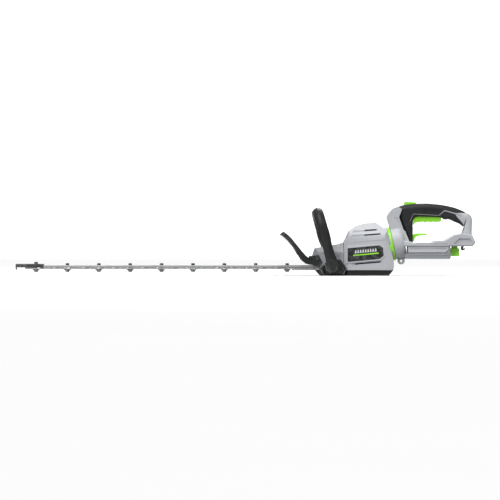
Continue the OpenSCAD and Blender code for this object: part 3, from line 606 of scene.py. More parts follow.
def blade_solid(z0, z1, first_tooth, ground_up):
    """A blade whose tooth flanks are ground to an edge on one face."""
    front, rear = low("upper_blade").x, HOUSE_X - 30
    lower = [(front, -6), (front + 14, -BAR_HALF)]
    upper = [(front, 6), (front + 14, BAR_HALF)]
    for i in range(TEETH):
        lower += tooth_outline(first_tooth + i * TOOTH_PITCH, -1)
        upper += tooth_outline(first_tooth + i * TOOTH_PITCH, 1)
    outline = [(x - DATUM, y) for x, y in
               lower + [(rear, -BAR_HALF), (rear, BAR_HALF)] + upper[::-1]]
    rim = inset(outline, 1.3)
    land = 0.7
    if ground_up:
        levels = [(outline, z0), (outline, z0 + land), (rim, z1)]
    else:
        levels = [(rim, z0), (outline, z1 - land), (outline, z1)]
    solid = Solid.skin([[(x, y, z) for x, y in ring] for ring, z in levels])
    slots = []
    slot_r = 4.2
    for x in BOLT_XS:
        for dx in (-THROW, THROW):
            slots.append(Solid.rod((x - DATUM + dx, 0, z0 - 1), UP, slot_r, 4, 24))
        slots.append(Solid.block((x - DATUM - THROW, -slot_r, z0 - 1), (x - DATUM + THROW, slot_r, z1 + 1)))
    return solid.cut(*slots)


def make_blades():
    """Two toothed blades, ground on opposite faces, with slots for the bolts and flat driven ends."""
    first = FIRST_BOLT + 0.25 * TOOTH_PITCH
    for node, offset, body, up in (("upper_blade", 0, "upper_blade_body", True),
                                   ("lower_blade", TOOTH_PITCH / 2, "lower_blade_body", False)):
        lo, hi = low(node), high(node)
        toothed = blade_solid(lo.z, hi.z, first + offset, up)
        eye = Solid.block((HOUSE_X - DATUM - 31, -BAR_HALF, lo.z), (262 - 28, BAR_HALF, hi.z))
        toothed.add(eye)
        toothed.piece(node.replace("_", "-"), body, "blade_steel", replaces=[node], crease=20)


def make_bar():
    """The long bar over the blades, with a shallow groove and a land round every bolt."""
    front, rear = low("support_bar").x - DATUM, high("support_bar").x - DATUM
    outline = [(front, -8), (front + 14, -BAR_HALF), (rear, -BAR_HALF), (rear, BAR_HALF),
               (front + 14, BAR_HALF), (front, 8)]
    bar = Solid.upright(outline, BAR_LOW, BAR_TOP).soften(1.1, 3)
    groove = Solid.block((front + 40, -5.5, BAR_TOP - 1.2), (rear - 30, 5.5, BAR_TOP + 3))
    lands = [Solid.rod((x - DATUM, 0, BAR_TOP - 1.4), UP, 7.5, 1.4, 32) for x in BOLT_XS[1:]]
    bar.cut(groove)
    bar.add(*lands)
    bar.piece("bar", "chassis", "bar_steel", replaces=["support_bar"])


def make_bolts():
    """Domed bolt heads on washers above the bar, and flanged nuts below it."""
    heads, nuts = [], []
    nut_low, nut_top = low("blade_nuts").z, high("blade_nuts").z
    thick = nut_top - nut_low
    on_tip_cap = 3.4
    for i, x in enumerate(BOLT_XS):
        seat = Vector((x - DATUM, 0, BAR_TOP + (on_tip_cap if i == 0 else 0)))
        washer = Solid.rod(seat, UP, BOLT_R, 1.1, 36, 0.25)
        head_at = seat + UP * 0.9
        head = Solid.hexagon(head_at, UP, 4.7, 4.5)
        dome = Solid.lathe([(6.2, -1), (5.3, 2.9), (3.7, 4.4)], head_at, UP, 36)
        heads.append(head.keep(dome).add(washer))
        nut_at = Vector((x - DATUM, 0, nut_low))
        nut = Solid.hexagon(nut_at, UP, 5.4, 5)
        nut.keep(Solid.lathe([(3.7, -0.6), (6.2, 1.9), (6.4, 6)], nut_at, UP, 36))
        flange = [(6.1, 3.6), (8.7, thick - 1.3), (9, thick - 0.9), (9, thick)]
        nut.add(Solid.lathe(flange, nut_at, UP, 36))
        nut.cut(Solid.rod(nut_at - UP, UP, 2.8, 1.8, 20))
        nuts.append(nut)
    joined(heads).piece("bolt-heads", "chassis", "black_steel", replaces=["blade_bolts"])
    joined(nuts).piece("flange-nuts", "chassis", "gear_steel", "black_steel", ["blade_nuts"])


def make_tip_guard():
    """The cap over the blades' end, with a window, grooves, a lip and the first bolt's boss."""
    tip = low("tip_guard").x - DATUM
    back = high("tip_guard").x - DATUM
    z0, z1 = BAR_LOW + 0.4, high("tip_guard").z
    bolt = FIRST_BOLT - DATUM
    shape = [(tip, 9), (tip + 5, 17), (tip + 14, 26), (tip + 26, 31.5), (tip + 38, 32.5), (tip + 50, 29),
             (tip + 60, 23.5), (back, BAR_HALF + 4)]
    cap = Solid.upright(both_sides(shape), z0, z1).soften(1.8, 3)
    window = Solid.upright(both_sides([(tip + 12, 8), (tip + 20, 13), (tip + 36, 13)]), z1 - 1.2, z1 + 2)
    grooves = []
    for x in (tip + 42, tip + 49):
        for s in (1, -1):
            outline = [(x, s * 20), (x + 3, s * 20), (x + 3, s * 28), (x, s * 27)]
            grooves.append(Solid.upright(outline[::s], z1 - 1.5, z1 + 1))
    room = BAR_HALF + 0.2
    bar_end = both_sides([(bolt - 30.3, 8.2), (bolt - 16, room), (back + 2, room)])
    under = Solid.upright(bar_end, z0 - 2, BAR_TOP)
    lip = Solid.upright(both_sides([(tip, 8), (tip + 2.4, 13)]), low("tip_guard").z, z0 + 1)
    boss = Solid.rod((bolt, 0, z1 - 0.5), UP, 9, 0.9, 40, 0.3)
    cap.cut(window, under, *grooves)
    cap.add(lip, boss)
    cap.piece("tip-cap", "chassis", "dark_grey_plastic", replaces=["tip_guard"])


# ---------------------------------------------------------------- casing

NOSE_SIDE = [(174, 14), (253, 14), (253, 84), (225, 78.7), (192, 73), (178.5, 70.4), (173, 53)]
NOSE_ROOM = [(-34, 5), (34, 5), (34, 60), (21, 79), (-21, 79), (-34, 60)]
HOUSE_SIDE = [(253, 14), (382, 14), (382.1, 34.7), (363.6, 121.5), (354.8, 123.3), (336.7, 136.5),
              (304.6, 133.5), (289, 130), (267, 115), (253, 85)]
HOUSE_FACE = [(253, 14), (379, 14), (377, 34.7), (356.5, 104), (349, 112), (331, 125.5),
              (306, 123.5), (292, 120.5), (272, 107), (253, 81)]
BADGE = [(263, 35.5), (344.5, 43), (355.3, 51.5), (353, 71), (344.5, 77.2), (263, 69.7)]


def nose_front(x0, x1, grown=0.0):
    """The gear case as seen from the front, drawn along the tool."""
    half, top = NOSE_HALF + grown, 84 + grown
    outline = [(-half, 14), (half, 14), (half, 60), (half - 15, top), (15 - half, top), (-half, 60)]
    return Solid.along(outline, x0, x1)


def make_nose(looks):
    """The gear case, hollow and open at the front for the blades, with a collar at its rear."""
    plan = both_sides([(172, NOSE_HALF - 15), (187, NOSE_HALF), (253, NOSE_HALF)])
    nose = Solid.across(NOSE_SIDE).keep(Solid.upright(plan, 0, 100), nose_front(170, 254))
    nose.soften(looks.edge_radius, 4)
    mouth = Solid.block((170, -BAR_HALF - 0.5, 10), (186, BAR_HALF + 0.5, BAR_TOP + 0.6))
    room = Solid.across([(184, 10), (256, 10), (256, 80), (225, 75), (193, 69.5), (184, 67)])
    room.keep(Solid.along(NOSE_ROOM, 183, 257))
    cuts = [mouth, room]
    panel = [(208, 24), (238, 24), (241, 52), (212, 49)]
    for s in (-1, 1):
        cuts.append(Solid.on_side(panel, s, NOSE_HALF - 1.2, NOSE_HALF + 4).soften(1.0, 2))
        for z in (58.5, 62.5):
            line = [(196, z - 0.5), (246, z + 3.0), (246, z + 4.2), (196, z + 0.7)]
            cuts.append(Solid.on_side(line, s, NOSE_HALF - 0.9, NOSE_HALF + 6))
    nose.cut(*cuts)
    collar = Solid.across([(245, 15), (252.6, 15), (252.6, 85), (245, 83.6)])
    collar.keep(nose_front(244, 254, 1.3)).soften(1.2, 3)
    collar.cut(Solid.block((240, -BAR_HALF, 0), (260, BAR_HALF, 50)))
    collar.cut(Solid.along(NOSE_ROOM, 240, 257))
    nose.add(collar)
    nose.piece("gear-nose", "chassis", "nose_silver", replaces=["gear_case"])


def house_front(x0, x1, depth=0.0):
    """The motor housing as seen from the front, drawn along the tool and in by a depth."""
    half, top = CASE_HALF, high("housing_left").z
    outline = [(-half, 14), (half, 14), (half, 98), (half - 3, 108), (half - 9, 117), (half - 22, top),
               (22 - half, top), (9 - half, 117), (3 - half, 108), (-half, 98)]
    return Solid.along(inset(outline, depth) if depth else outline, x0, x1)


def sloping_bar(x0, z0, x1, z1, height, side, near, rake=0.0):
    """A slot cutter: a thin bar between two points with raked ends, from a depth outwards on one side."""
    h = height / 2
    outline = [(x0 - rake, z0 - h), (x1 - rake * 0.4, z1 - h), (x1 + rake * 0.4, z1 + h), (x0, z0 + h)]
    return Solid.on_side(outline, side, near, CASE_HALF + 3)


VENTS = (
    # front x and z, rear x and z, depth of the sunk pocket, where the open slot starts along it
    (279, 113.6, 341, 118.2, 8.5, 0.46),
    (273, 100.6, 350, 107.4, 2.6, 0.44),
    (276, 28.5, 350, 35, 2.6, 0.1),
)


def make_housing(looks):
    """The two housing halves, with vents, a seam line on each side, badge rims, a roof spine and dust screens."""
    plan = both_sides([(253, NOSE_HALF + 1), (263, CASE_HALF), (360, CASE_HALF), (382.2, CASE_HALF - 8)])
    half = CASE_HALF
    rings = [(HOUSE_FACE, -half), (HOUSE_SIDE, 7.5 - half), (HOUSE_SIDE, half - 7.5), (HOUSE_FACE, half)]
    shell = Solid.skin([[(x, y, z) for x, z in ring] for ring, y in rings])
    shell.keep(Solid.upright(plan, 0, 200), house_front(250, 390))
    shell.soften(looks.edge_radius, 4)
    wall = 3.2
    inner_plan = both_sides([(250, NOSE_HALF - 3), (264, CASE_HALF - wall), (359, CASE_HALF - wall),
                             (379, CASE_HALF - 11)])
    inner_side = [(250, 10), (378.5, 10), (378.5, 34), (360.5, 118.5), (354, 120), (335.7, 133), (305, 130),
                  (290.3, 126.7), (269.5, 112.8), (250, 80)]
    hollow = Solid.across(inner_side)
    hollow.keep(Solid.upright(inner_plan, 0, 200), house_front(250, 390, wall))
    cuts, trims = [hollow], []
    for s in (-1, 1):
        # each vent is a sunk pocket with a slot through its rear part
        for x0, z0, x1, z1, deep, first in VENTS:
            cuts.append(sloping_bar(x0, z0, x1, z1, 6.4, s, CASE_HALF - deep, 3).soften(1.0, 2))
            slot_x, slot_z = x0 + (x1 - x0) * first, z0 + (z1 - z0) * first
            cuts.append(sloping_bar(slot_x, slot_z + 0.4, x1 - 3, z1, 3.6, s, 20, 2))
        # seam between side panel and roof
        cuts.append(sloping_bar(254, 83.5, 361, 92.0, 0.9, s, CASE_HALF - 0.8))
        rim = Solid.on_side(grow(BADGE, 4.2), s, CASE_HALF - 0.6, CASE_HALF + 1.5).soften(0.9, 3)
        trims.append(rim.cut(Solid.on_side(grow(BADGE, 0.6), s, CASE_HALF - 0.2, CASE_HALF + 3)))
    # raised spine along the roof
    spine = Solid.across([(296, 128), (346, 126), (337.5, 137.6), (304, 134.6)], -9, 9).soften(2.0, 3)
    shell.cut(*cuts)
    shell.add(*trims, spine)
    # dust screens behind the vents
    screen = house_front(266, 352, 9.8).cut(house_front(260, 360, 10.8))
    screen.keep(Solid.across(inset(HOUSE_SIDE, 6.5)), Solid.block((260, -60, 24), (356, 60, 122)))
    screen.piece("vent-screens", "chassis", "black_plastic")
    left, right = halves(shell, 240, 400)
    left.piece("housing-shell-left", "chassis", "shell_silver", replaces=["housing_left"], crease=32)
    right.piece("housing-shell-right", "chassis", "shell_silver", replaces=["housing_right"], crease=32)


def make_badges():
    """Black plates with a plain row of saw teeth over a green line."""
    plates, teeth, lines = [], [], []
    face = CASE_HALF + 1.0
    near, far = face - 0.3, face + 0.35
    for s in (-1, 1):
        plates.append(Solid.on_side(grow(BADGE, 0.3), s, CASE_HALF - 0.3, face).soften(0.6, 2))
        for i in range(9):
            x = 281 + i * 6.4
            z = 55.5 + (x - 263) * 0.092
            tooth = [(x, z), (x + 5.0, z + 0.4), (x + 3.6, z + 8.2), (x + 1.4, z + 8.0)]
            teeth.append(Solid.on_side(tooth, s, near, far))
        lines.append(Solid.on_side([(277, 50.2), (343, 56.2), (342, 59.4), (277, 53.2)], s, near, far))
    joined(plates).piece("badge-plates", "chassis", "black_plastic", replaces=["badge_plates"])
    joined(teeth).piece("badge-teeth", "chassis", "white_print", slot="shell_silver")
    joined(lines).piece("badge-line", "chassis", "green_plastic")


def make_skid():
    """The black base, hollow from above, with floor grooves, a groove along each side and three screws."""
    side = [(192, 0), (369, 0), (381.5, 14), (179, 14)]
    half = CASE_HALF - 2
    plan = both_sides([(178, 28), (194, NOSE_HALF - 2), (253, NOSE_HALF - 2), (265, half), (383, half)])
    skid = Solid.across(side).keep(Solid.upright(plan, -2, 60)).soften(1.8, 3)
    cuts = []
    for s in (-1, 1):
        cuts.append(Solid.on_side([(272, 4.2), (366, 4.2), (372, 8.8), (272, 8.8)], s, half - 1.0, half + 3))
        for k in range(5):
            x = 268 + 20 * k
            outline = [(x, s * 12), (x + 10, s * 12), (x + 10, s * 32), (x, s * 32)]
            cuts.append(Solid.upright(outline[::s], -2, 1.2))
    screws = (205, 240, 350)
    cuts += [Solid.rod((x, 0, -1), UP, 4.5, 3.5, 28) for x in screws]
    cuts += [Solid.block((199, -32, 4), (259, 32, 20)), Solid.block((261, -40, 4), (366, 40, 20))]
    skid.cut(*cuts)
    heads = [screw_head((x, 0, 2.4), -UP, 4, 1.6) for x in screws]
    joined(heads).piece("skid-screws", "chassis", "black_steel")
    skid.piece("skid-base", "chassis", "black_plastic", replaces=["skid_cover"])


def make_case_screws():
    """The screws that hold the housing halves, on the left side."""
    heads = []
    for x, z in ((261.5, 80), (286, 121), (347, 112), (368, 24)):
        heads.append(screw_head((x, CASE_HALF - 8, z), (0, 1, 0), 3.2, 2.4))
    joined(heads).piece("housing-screw-heads", "chassis", "black_steel", replaces=["housing_screws"])


# ---------------------------------------------------------------- hand guard and front handle


def make_hand_guard():
    """A curved sheet with a deep rim and two ribs, bent forward in side view."""
    lean = [(171.5, 36), (160, 38), (149, 46), (138, 58), (124, 75), (110, 91.5), (98, 102), (91.5, 106.5)]
    top = high("hand_guard").y
    widths = [NOSE_HALF + 3, NOSE_HALF + 7, 55, 68, top - 9, top - 1.5, top - 3, top - 14]
    columns = 24
    thick = 3.6
    rows = len(lean)

    def surface(i, u, offset):
        x, z = lean[i]
        (ax, az), (bx, bz) = neighbours(lean, i)
        normal = Vector((bz - az, ax - bx)).normalized()
        bow = 2.5 * u * u * (i / (rows - 1))
        return (x + bow - normal.x * offset, u * widths[i], z + bow * 0.6 - normal.y * offset)

    rings = []
    for i in range(rows):
        us = [2 * k / columns - 1 for k in range(columns + 1)]
        rings.append([surface(i, u, 0) for u in us] + [surface(i, u, thick) for u in reversed(us)])
    sheet = Solid.skin(rings)
    rim_line = [surface(i, -1, 0) for i in range(rows)]
    rim_line += [surface(rows - 1, 2 * k / 12 - 1, 0) for k in range(1, 12)]
    rim_line += [surface(i, 1, 0) for i in range(rows - 1, -1, -1)]
    rim = []
    for i, at in enumerate(rim_line):
        before, after = neighbours(rim_line, i)
        tangent = (Vector(after) - Vector(before)).normalized()
        out = Vector((0.78, 0, 0.62))
        out = (out - tangent * out.dot(tangent)).normalized()
        flat = tangent.cross(out)
        # the rim is deepest at the foot of the guard
        root = max(0.0, 1 - at[2] / 75)
        centre = Vector(at) + out * (1.2 - 4.5 * root)
        reach = 5.6 + 6.0 * root
        ring = []
        for k in range(16):
            c, e = squared_turn(2 * math.pi * k / 16, 0.6)
            ring.append(tuple(centre + out * reach * c + flat * 2.1 * e))
        rim.append(ring)
    sheet.add(Solid.skin(rim))
    for s in (-1, 1):
        rib = []
        for (x, z), width in zip(lean[1:-1], widths[1:-1]):
            y = s * width * 0.38
            rib.append([(x + 3.4, y - 1.3, z + 3.0), (x + 3.4, y + 1.3, z + 3.0),
                        (x - 1.5, y + 1.3, z - 1.5), (x - 1.5, y - 1.3, z - 1.5)])
        sheet.add(Solid.skin(rib))
    ears = []
    ear_side = [(164, 31), (187, 21), (198, 34.4), (188, 53.6), (164, 50)]
    for s in (-1, 1):
        ear = Solid.on_side(ear_side, s, NOSE_HALF + 0.1, NOSE_HALF + 5).soften(1.6, 3)
        recess = Solid.rod((184.7, s * (NOSE_HALF + 3.6), 45.3), (0, s, 0), 5.6, 4, 32)
        ears.append(ear.cut(recess))
    sheet.add(*ears)
    sheet.cut(Solid.block((100, -BAR_HALF - 3, 0), (172.8, BAR_HALF + 3, BAR_TOP + 7)))
    sheet.piece("hand-guard", "chassis", "black_plastic", replaces=["hand_guard"], crease=35)
    heads = [screw_head((184.7, s * (NOSE_HALF + 3.7), 45.3), (0, s, 0), 4.6, 2.6) for s in (-1, 1)]
    joined(heads).piece("guard-screw-heads", "chassis", "black_steel", replaces=["guard_screws"])


LEAN = math.radians(15.5)
LOOP_UP = Vector((-math.sin(LEAN), 0, math.cos(LEAN)))
LOOP_NORMAL = Vector((math.cos(LEAN), 0, math.sin(LEAN)))


def loop_line(looks):
    """Centre line of the front loop from one foot to the other, with the tube's thickness along it."""
    foot = Vector((229, 0, 6))
    radius = looks.tube_radius / MM
    half = high("front_handle").y - radius
    height = (high("front_handle").z - radius * 0.97 - foot.z) / math.cos(LEAN)
    foot_y, foot_z, foot_bend, corner = CASE_HALF - 2, 18, 24, 42

    def at(y, z):
        return foot + Vector((0, y, 0)) + LOOP_UP * z

    def bend(r, turn, middle_z):
        a = math.radians(turn)
        return half - r + r * math.cos(a), middle_z + r * math.sin(a)

    side = []
    start, end = foot_z + foot_bend, height - corner
    for k in range(13):
        side.append((*bend(foot_bend, 90 * k / 12 - 90, start), 1.22 - 0.2 * k / 12))
    for k in range(1, 12):
        t = k / 12
        side.append((half, start + (end - start) * t, 1.02 - 0.09 * math.sin(math.pi * min(1, t * 1.4))))
    for k in range(15):
        side.append((*bend(corner, 90 * k / 14, end), 0.97 + 0.03 * k / 14))
    line = [(at(foot_y, foot_z), 1.25)] + [(at(y, z), f) for y, z, f in side]
    line += [(at(y, height), 1.0) for y in (30, 20, 10, 0)]
    mirror = [(Vector((c.x, -c.y, c.z)), f) for c, f in reversed(line[:-1])]
    return line + mirror, radius


def make_front_handle(looks):
    """The bent tube of the front loop, with a soft cover round its middle."""
    line, radius = loop_line(looks)
    loop = Solid.skin(tube_rings(line, radius - 0.9))
    loop.piece("front-loop", "chassis", "black_plastic", replaces=["front_handle"], crease=50)
    middle = len(line) // 2
    grip = line[middle - 24:middle + 25]
    for end in (0, -1):
        centre, factor = grip[end]
        grip[end] = (centre, factor * 0.95)
    cover = Solid.skin(tube_rings(grip, radius - 0.1))
    cover.piece("front-grip-cover", "chassis", "soft_grip", crease=50)


def make_boots():
    """The rubber boots that the loop's feet stand in, with their fronts, screws, and pale strips along their edges
    that are painted highlights.
    """
    rear = [(213, 4), (252, 2), (262, 17.6), (247, 40), (236, 42), (213.5, 42), (204, 31.6), (203, 12)]
    front = [(190, 20.5), (191.5, 8), (200.3, 2.5), (201.8, 12), (202.6, 30.0)]
    pad = [(222, 7), (249, 5.5), (256.5, 17.6), (244.5, 35), (236, 36.8), (222, 36.8)]
    case_plan = both_sides([(252.9, NOSE_HALF + 1), (262.9, CASE_HALF), (300, CASE_HALF)])
    near, far = NOSE_HALF + 0.1, NOSE_HALF + 10.9
    front_far = far - 3
    # pale strips along the boots' bevelled edges: painted highlights, as (line, distance from the middle)
    edge_highlight_lines = (([(191, 19.5), (204.5, 30)], front_far), ([(191, 19.5), (200.3, 2.7)], front_far),
             ([(204.8, 29.6), (209, 15), (219.5, 4.2)], far), ([(246.7, 38.6), (259.8, 19), (251.6, 4)], far))
    boots, fronts, heads, trims = [], [], [], []
    for s in (-1, 1):
        boot = Solid.on_side(rear, s, near, far).soften(2.6, 4)
        boot.add(Solid.on_side(pad, s, far - 0.2, far + 1.6).soften(1.2, 3))
        casing = Solid.upright(case_plan, -5, 100)
        boot.cut(casing, Solid.rod((249, s * (far - 1.6), 18), (0, s, 0), 4.2, 6, 32))
        boots.append(boot)
        fronts.append(Solid.on_side(front, s, near, front_far).soften(1.6, 3))
        heads.append(screw_head((249, s * (far - 1.5), 18), (0, s, 0), 3.6, 2.4))
        for line, level in edge_highlight_lines:
            trims.append(Solid.on_side(ribbon(line, [0.8] * len(line)), s, level - 0.3, level + 0.35))
    joined(boots).piece("loop-boots", "chassis", "black_plastic", replaces=["handle_boots"])
    joined(fronts).piece("boot-fronts", "chassis", "black_plastic")
    # the pale strips are painted highlights along the boots' edges, not parts of the boots
    joined(trims).piece("boot-edge-highlights", "chassis", "light_grey_plastic", "black_plastic")
    joined(heads).piece("boot-screw-heads", "chassis", "black_steel", replaces=["boot_screws"])


# ---------------------------------------------------------------- swivel

SWIVEL_ACROSS = Vector((0, 1, 0))
SWIVEL_UP = SWIVEL_AXIS.cross(SWIVEL_ACROSS) * -1


def on_swivel(radius, turn, distance):
    """A point at a radius and angle round the swivel axis, in outline millimetres; angle 0 is up."""
    out = SWIVEL_UP * math.cos(turn) + SWIVEL_ACROSS * math.sin(turn)
    at = SWIVEL_AT + SWIVEL_AXIS * distance + out * radius
    return (at.x - DATUM, at.y, at.z)


def swivel_turned(profile_at, steps):
    """A ring round the swivel axis, from the (radius, distance) profile at each angle."""
    rings = []
    for i in range(steps):
        turn = 2 * math.pi * i / steps
        rings.append([on_swivel(radius, turn, distance) for radius, distance in profile_at(turn)])
    return Solid.skin(rings, loop=True)


def make_swivel_ring():
    """A green band whose front edge runs out into six lobes, over a silver collar."""
    half = RING_T / 2

    def band(turn):
        lobe = max(0.0, math.cos(turn * 6 + math.pi / 2)) ** 0.6
        front = -1.6 - 6.0 * lobe
        r = RING_R
        return [(20, front + 0.6), (r - 2.4, front + 0.2), (r - 0.9, front + 0.3), (r, front + 1.2),
                (r, half - 1.2), (r - 1.0, half - 0.1), (20, half - 0.1)]

    def collar(_):
        r = RING_R - 0.9
        return [(19, -half + 0.2), (r - 1.2, -half + 0.2), (r, -half + 1.2), (r, half - 1.6),
                (r - 1.5, half - 0.8), (19, half - 0.8)]

    swivel_turned(band, 180).piece(
        "swivel-band", "chassis", "green_plastic", replaces=["swivel_ring"], crease=35)
    swivel_turned(collar, 120).piece("swivel-collar", "chassis", "shell_silver", crease=35)


# ---------------------------------------------------------------- rear handle

TOWER = [(384, 92), (424, 75.5), (423.5, 86), (412.6, 114), (408, 117.6), (396.5, 150), (404, 172),
         (393, 178), (381, 173), (370, 161), (364.5, 151), (372.5, 124)]
BEAM = [(401, 75.5), (587, 75.5), (594.8, 85), (585.6, 104.6), (558, 108.5), (541, 105.7),
        (512.6, 90.4), (488, 90.4), (480, 85.5), (433, 85.5), (401, 92)]
# the column that closes the grip at the rear, as (inner, outer, half width) stations from its foot upwards
COLUMN = [((558.5, 103), (586.5, 100), 20.5), ((559, 111), (585.6, 110), 19.5),
          ((561.5, 119), (586, 124), 19), ((563.5, 127), (586.4, 138), 19),
          ((566.5, 137), (585.5, 149), 19.2), ((568, 146), (580.5, 157.6), 19.4),
          ((570, 152), (575.5, 160.2), 18.8)]


def oval_ring(inner, outer, half_width, power=2.8, sides=40):
    """A rounded-rectangle ring between an inner and an outer point of the side view."""
    inner, outer = Vector(inner), Vector(outer)
    centre, reach = (inner + outer) / 2, (outer - inner) / 2
    ring = []
    for k in range(sides):
        u, v = squared_turn(2 * math.pi * k / sides, 2 / power)
        at = centre + reach * u
        ring.append((at.x, half_width * v, at.y))
    return ring


def catmull_rom(a, b, c, d, t):
    """A value between b and c on the smooth curve through four values."""
    square, cube = 2 * a - 5 * b + 4 * c - d, 3 * b - a - 3 * c + d
    return 0.5 * (2 * b + (c - a) * t + square * t * t + cube * t ** 3)


def smooth_stations(stations, between=4):
    """Catmull-Rom points between given (inner, outer, half width) stations."""
    flat = [(*a, *b, w) for a, b, w in stations]
    made = []
    for i in range(len(flat) - 1):
        q = [flat[max(i - 1, 0)], flat[i], flat[i + 1], flat[min(i + 2, len(flat) - 1)]]
        for k in range(between):
            t = k / between
            inner_x, inner_z, outer_x, outer_z, width = (catmull_rom(*values, t) for values in zip(*q))
            made.append(((inner_x, inner_z), (outer_x, outer_z), width))
    made.append(stations[-1])
    return made


def grip_stations(wide):
    """The grip's run from the swivel end to the rear, as (inner, outer, half width) stations."""
    return [((433, 85.8), (421.5, 87), wide - 3), ((433, 100), (416.5, 104), wide - 3),
            ((433.2, 118), (409.5, 118.5), wide - 3), ((433.8, 134), (402.5, 134), wide - 2.5),
            ((437, 147), (395, 155), wide - 2), ((446, 151), (395.5, 177.5), wide - 1),
            ((458, 150.8), (425, 184.8), wide), ((475, 150.4), (460, 186.7), wide),
            ((492, 150), (484, 185.7), wide), ((506, 148.6), (508, 182.8), wide),
            ((514, 144.2), (522, 180.2), wide), ((526, 144.6), (538, 176.4), wide - 0.5),
            ((541, 138.2), (552, 171.4), wide - 1), ((553, 133), (564, 166.2), wide - 1.5),
            ((562.5, 125.5), (573.5, 160), wide - 2)]


def grip_loft(grown=0.0):
    """The rounded bar of the rear grip, grown all round by a depth."""
    rings = []
    for inner, outer, half_width in smooth_stations(grip_stations(GRIP_HALF)):
        inner, outer = Vector(inner), Vector(outer)
        over = (outer - inner).normalized() * grown
        rings.append(oval_ring(inner - over, outer + over, half_width + grown, 2.7))
    return Solid.skin(rings)


def trigger_room():
    """A cutter for the space that the trigger moves in."""
    return Solid.block((428.5, -9.4, 126), (512, 9.4, 153))


def lever_room():
    """A cutter for the space that the swivel lever moves in."""
    return Solid.block((416, -5.4, 85), (436, 5.4, 114))


def make_grip():
    """The soft cover, the inlay under it, the rear sleeve and the grey accent line."""
    cover = grip_loft()
    cover.cut(trigger_room(), lever_room(), Solid.block((409.6, -7.3, 179), (442.4, 7.3, 200)))
    lower_region = [(395, 84), (436, 84), (440, 149), (512, 143), (540, 136), (566, 120), (570, 150),
                    (557, 154.4), (530, 162.5), (514.5, 166.6), (500, 154.4), (434.4, 158), (426, 140),
                    (418, 132), (400, 140)]
    lower = cover.copy().keep(Solid.across(lower_region))
    cover.cut(Solid.across(lower_region))
    hollow = grip_loft(-4).keep(Solid.across([(400, 95), (555, 95), (555, 200), (400, 200)]))
    lower.cut(hollow.copy())
    cover.cut(hollow)
    # finger waves along the upper cover's sides
    for s in (-1, 1):
        for i in range(11):
            x = 456 + i * 5.2
            z = 163 if x < 500 else 169
            cover.cut(Solid.rod((x, s * (GRIP_HALF + 0.6), z), (-0.05, 0, 1), 1.5, 9, 12))
    sleeve = [(546, 152), (566, 128), (582, 128), (582, 166), (566, 161.5), (540, 161.2)]
    for part in (cover, lower):
        part.cut(Solid.across(sleeve))
    sleeve_solid = grip_loft(0.25).keep(Solid.across(sleeve))
    sleeve_solid.piece("grip-sleeve", "rear_handle", "shell_silver", crease=35)
    line = [(424.5, 140.4), (433.8, 158.8), (499.4, 155.2), (514, 167.6), (530, 163.4), (557, 155.2)]
    cover.piece("grip-cover", "rear_handle", "soft_grip", replaces=["grip_cover"], crease=35)
    lower.piece("grip-inlay", "rear_handle", "black_plastic", crease=35)
    accent = grip_loft(0.35).keep(Solid.across(ribbon(line, [0.8, 1.4, 1.6, 2.2, 3.0, 5.0])))
    accent.piece("grip-accent", "rear_handle", "light_grey_plastic", slot="shell_silver", crease=35)


def make_handle_shells():
    """The silver shells: tower, barrel, beam and column in one body, split down the middle."""
    tower_plan = both_sides([(360, 13), (373, 19.5), (386, 24), (430, 24)])
    tower = Solid.across(TOWER).keep(Solid.upright(tower_plan, 50, 200)).soften(1.8, 3)
    r = RING_R - 1.6
    start = RING_T / 2 + 0.35
    barrel = Solid.lathe([(r - 2.0, 0), (r - 0.4, 1.4), (r, 4), (r, 19), (r - 2.4, 25), (r - 9, 30)],
                         on_swivel(0, 0, start), SWIVEL_AXIS, 96)
    beam_plan = both_sides([(400, BEAM_HALF - 8), (420, BEAM_HALF), (519, BEAM_HALF), (556, 29), (576, 23.5),
                            (597, 21.5)])
    beam = Solid.across(BEAM).keep(Solid.upright(beam_plan, 0, 200)).soften(2.8, 4)
    column = Solid.skin([oval_ring(a, b, w, 3.0) for a, b, w in smooth_stations(COLUMN)])
    lug = Solid.rod((402.7, -12, 37.6), (0, 1, 0), 9, 24, 40, 1.6)
    neck = Solid.across([(394, 40), (411, 40), (414, 56), (392, 56)], -9, 9).soften(2, 3)
    shell = tower.add(barrel)
    for part in (beam, column, lug, neck):
        shell.add(part)
    # the eye, the lock pin's bore, and the hollows of the tower, the beam and the column
    cuts = [Solid.rod((402.7, -20, 37.6), (0, 1, 0), 3.2, 40, 28),
            Solid.rod(on_swivel(29, math.pi, start - 2), SWIVEL_AXIS, 4.8, 50),
            Solid.across(inset(TOWER, 4.5), -17, 17),
            Solid.block((422, -35, 79), (540, 35, 84)), Solid.block((562, -15, 79), (582, 15, 148))]
    # a sunk panel on the tower and a groove along the beam
    tower_panel = [(377, 121), (404, 121), (392, 150), (372, 150)]
    beam_groove = [(440, 77.6), (520, 77.6), (528, 82.5), (440, 82.5)]
    for s in (-1, 1):
        cuts.append(Solid.on_side(tower_panel, s, 22.8, 40).soften(1.2, 3))
        cuts.append(Solid.on_side(beam_groove, s, BEAM_HALF - 1.0, BEAM_HALF + 5).soften(0.6, 2))
    # the raised frame at the rear end, and the sunk field inside it
    panel = [(524, 78), (584, 78), (590, 84.6), (583.5, 100.5), (549, 100)]
    shell.add(Solid.across(panel).keep(Solid.upright(grow(beam_plan, 0.9), 0, 200)))
    cuts.append(Solid.across(inset(panel, 4.6)).cut(Solid.upright(inset(beam_plan, 1.8), 0, 200)))
    shell.cut(*cuts)
    # room for the parts that move inside, and for the battery bay's latch
    shell.cut(lever_room(), trigger_room())
    shell.cut(Solid.block((532.5, -9.5, 60), (549, 9.5, 90)))
    left, right = halves(shell, 340, 700)
    left.piece("handle-shell-left", "rear_handle", "shell_silver", replaces=["handle_left"], crease=32)
    right.piece("handle-shell-right", "rear_handle", "shell_silver", replaces=["handle_right"], crease=32)


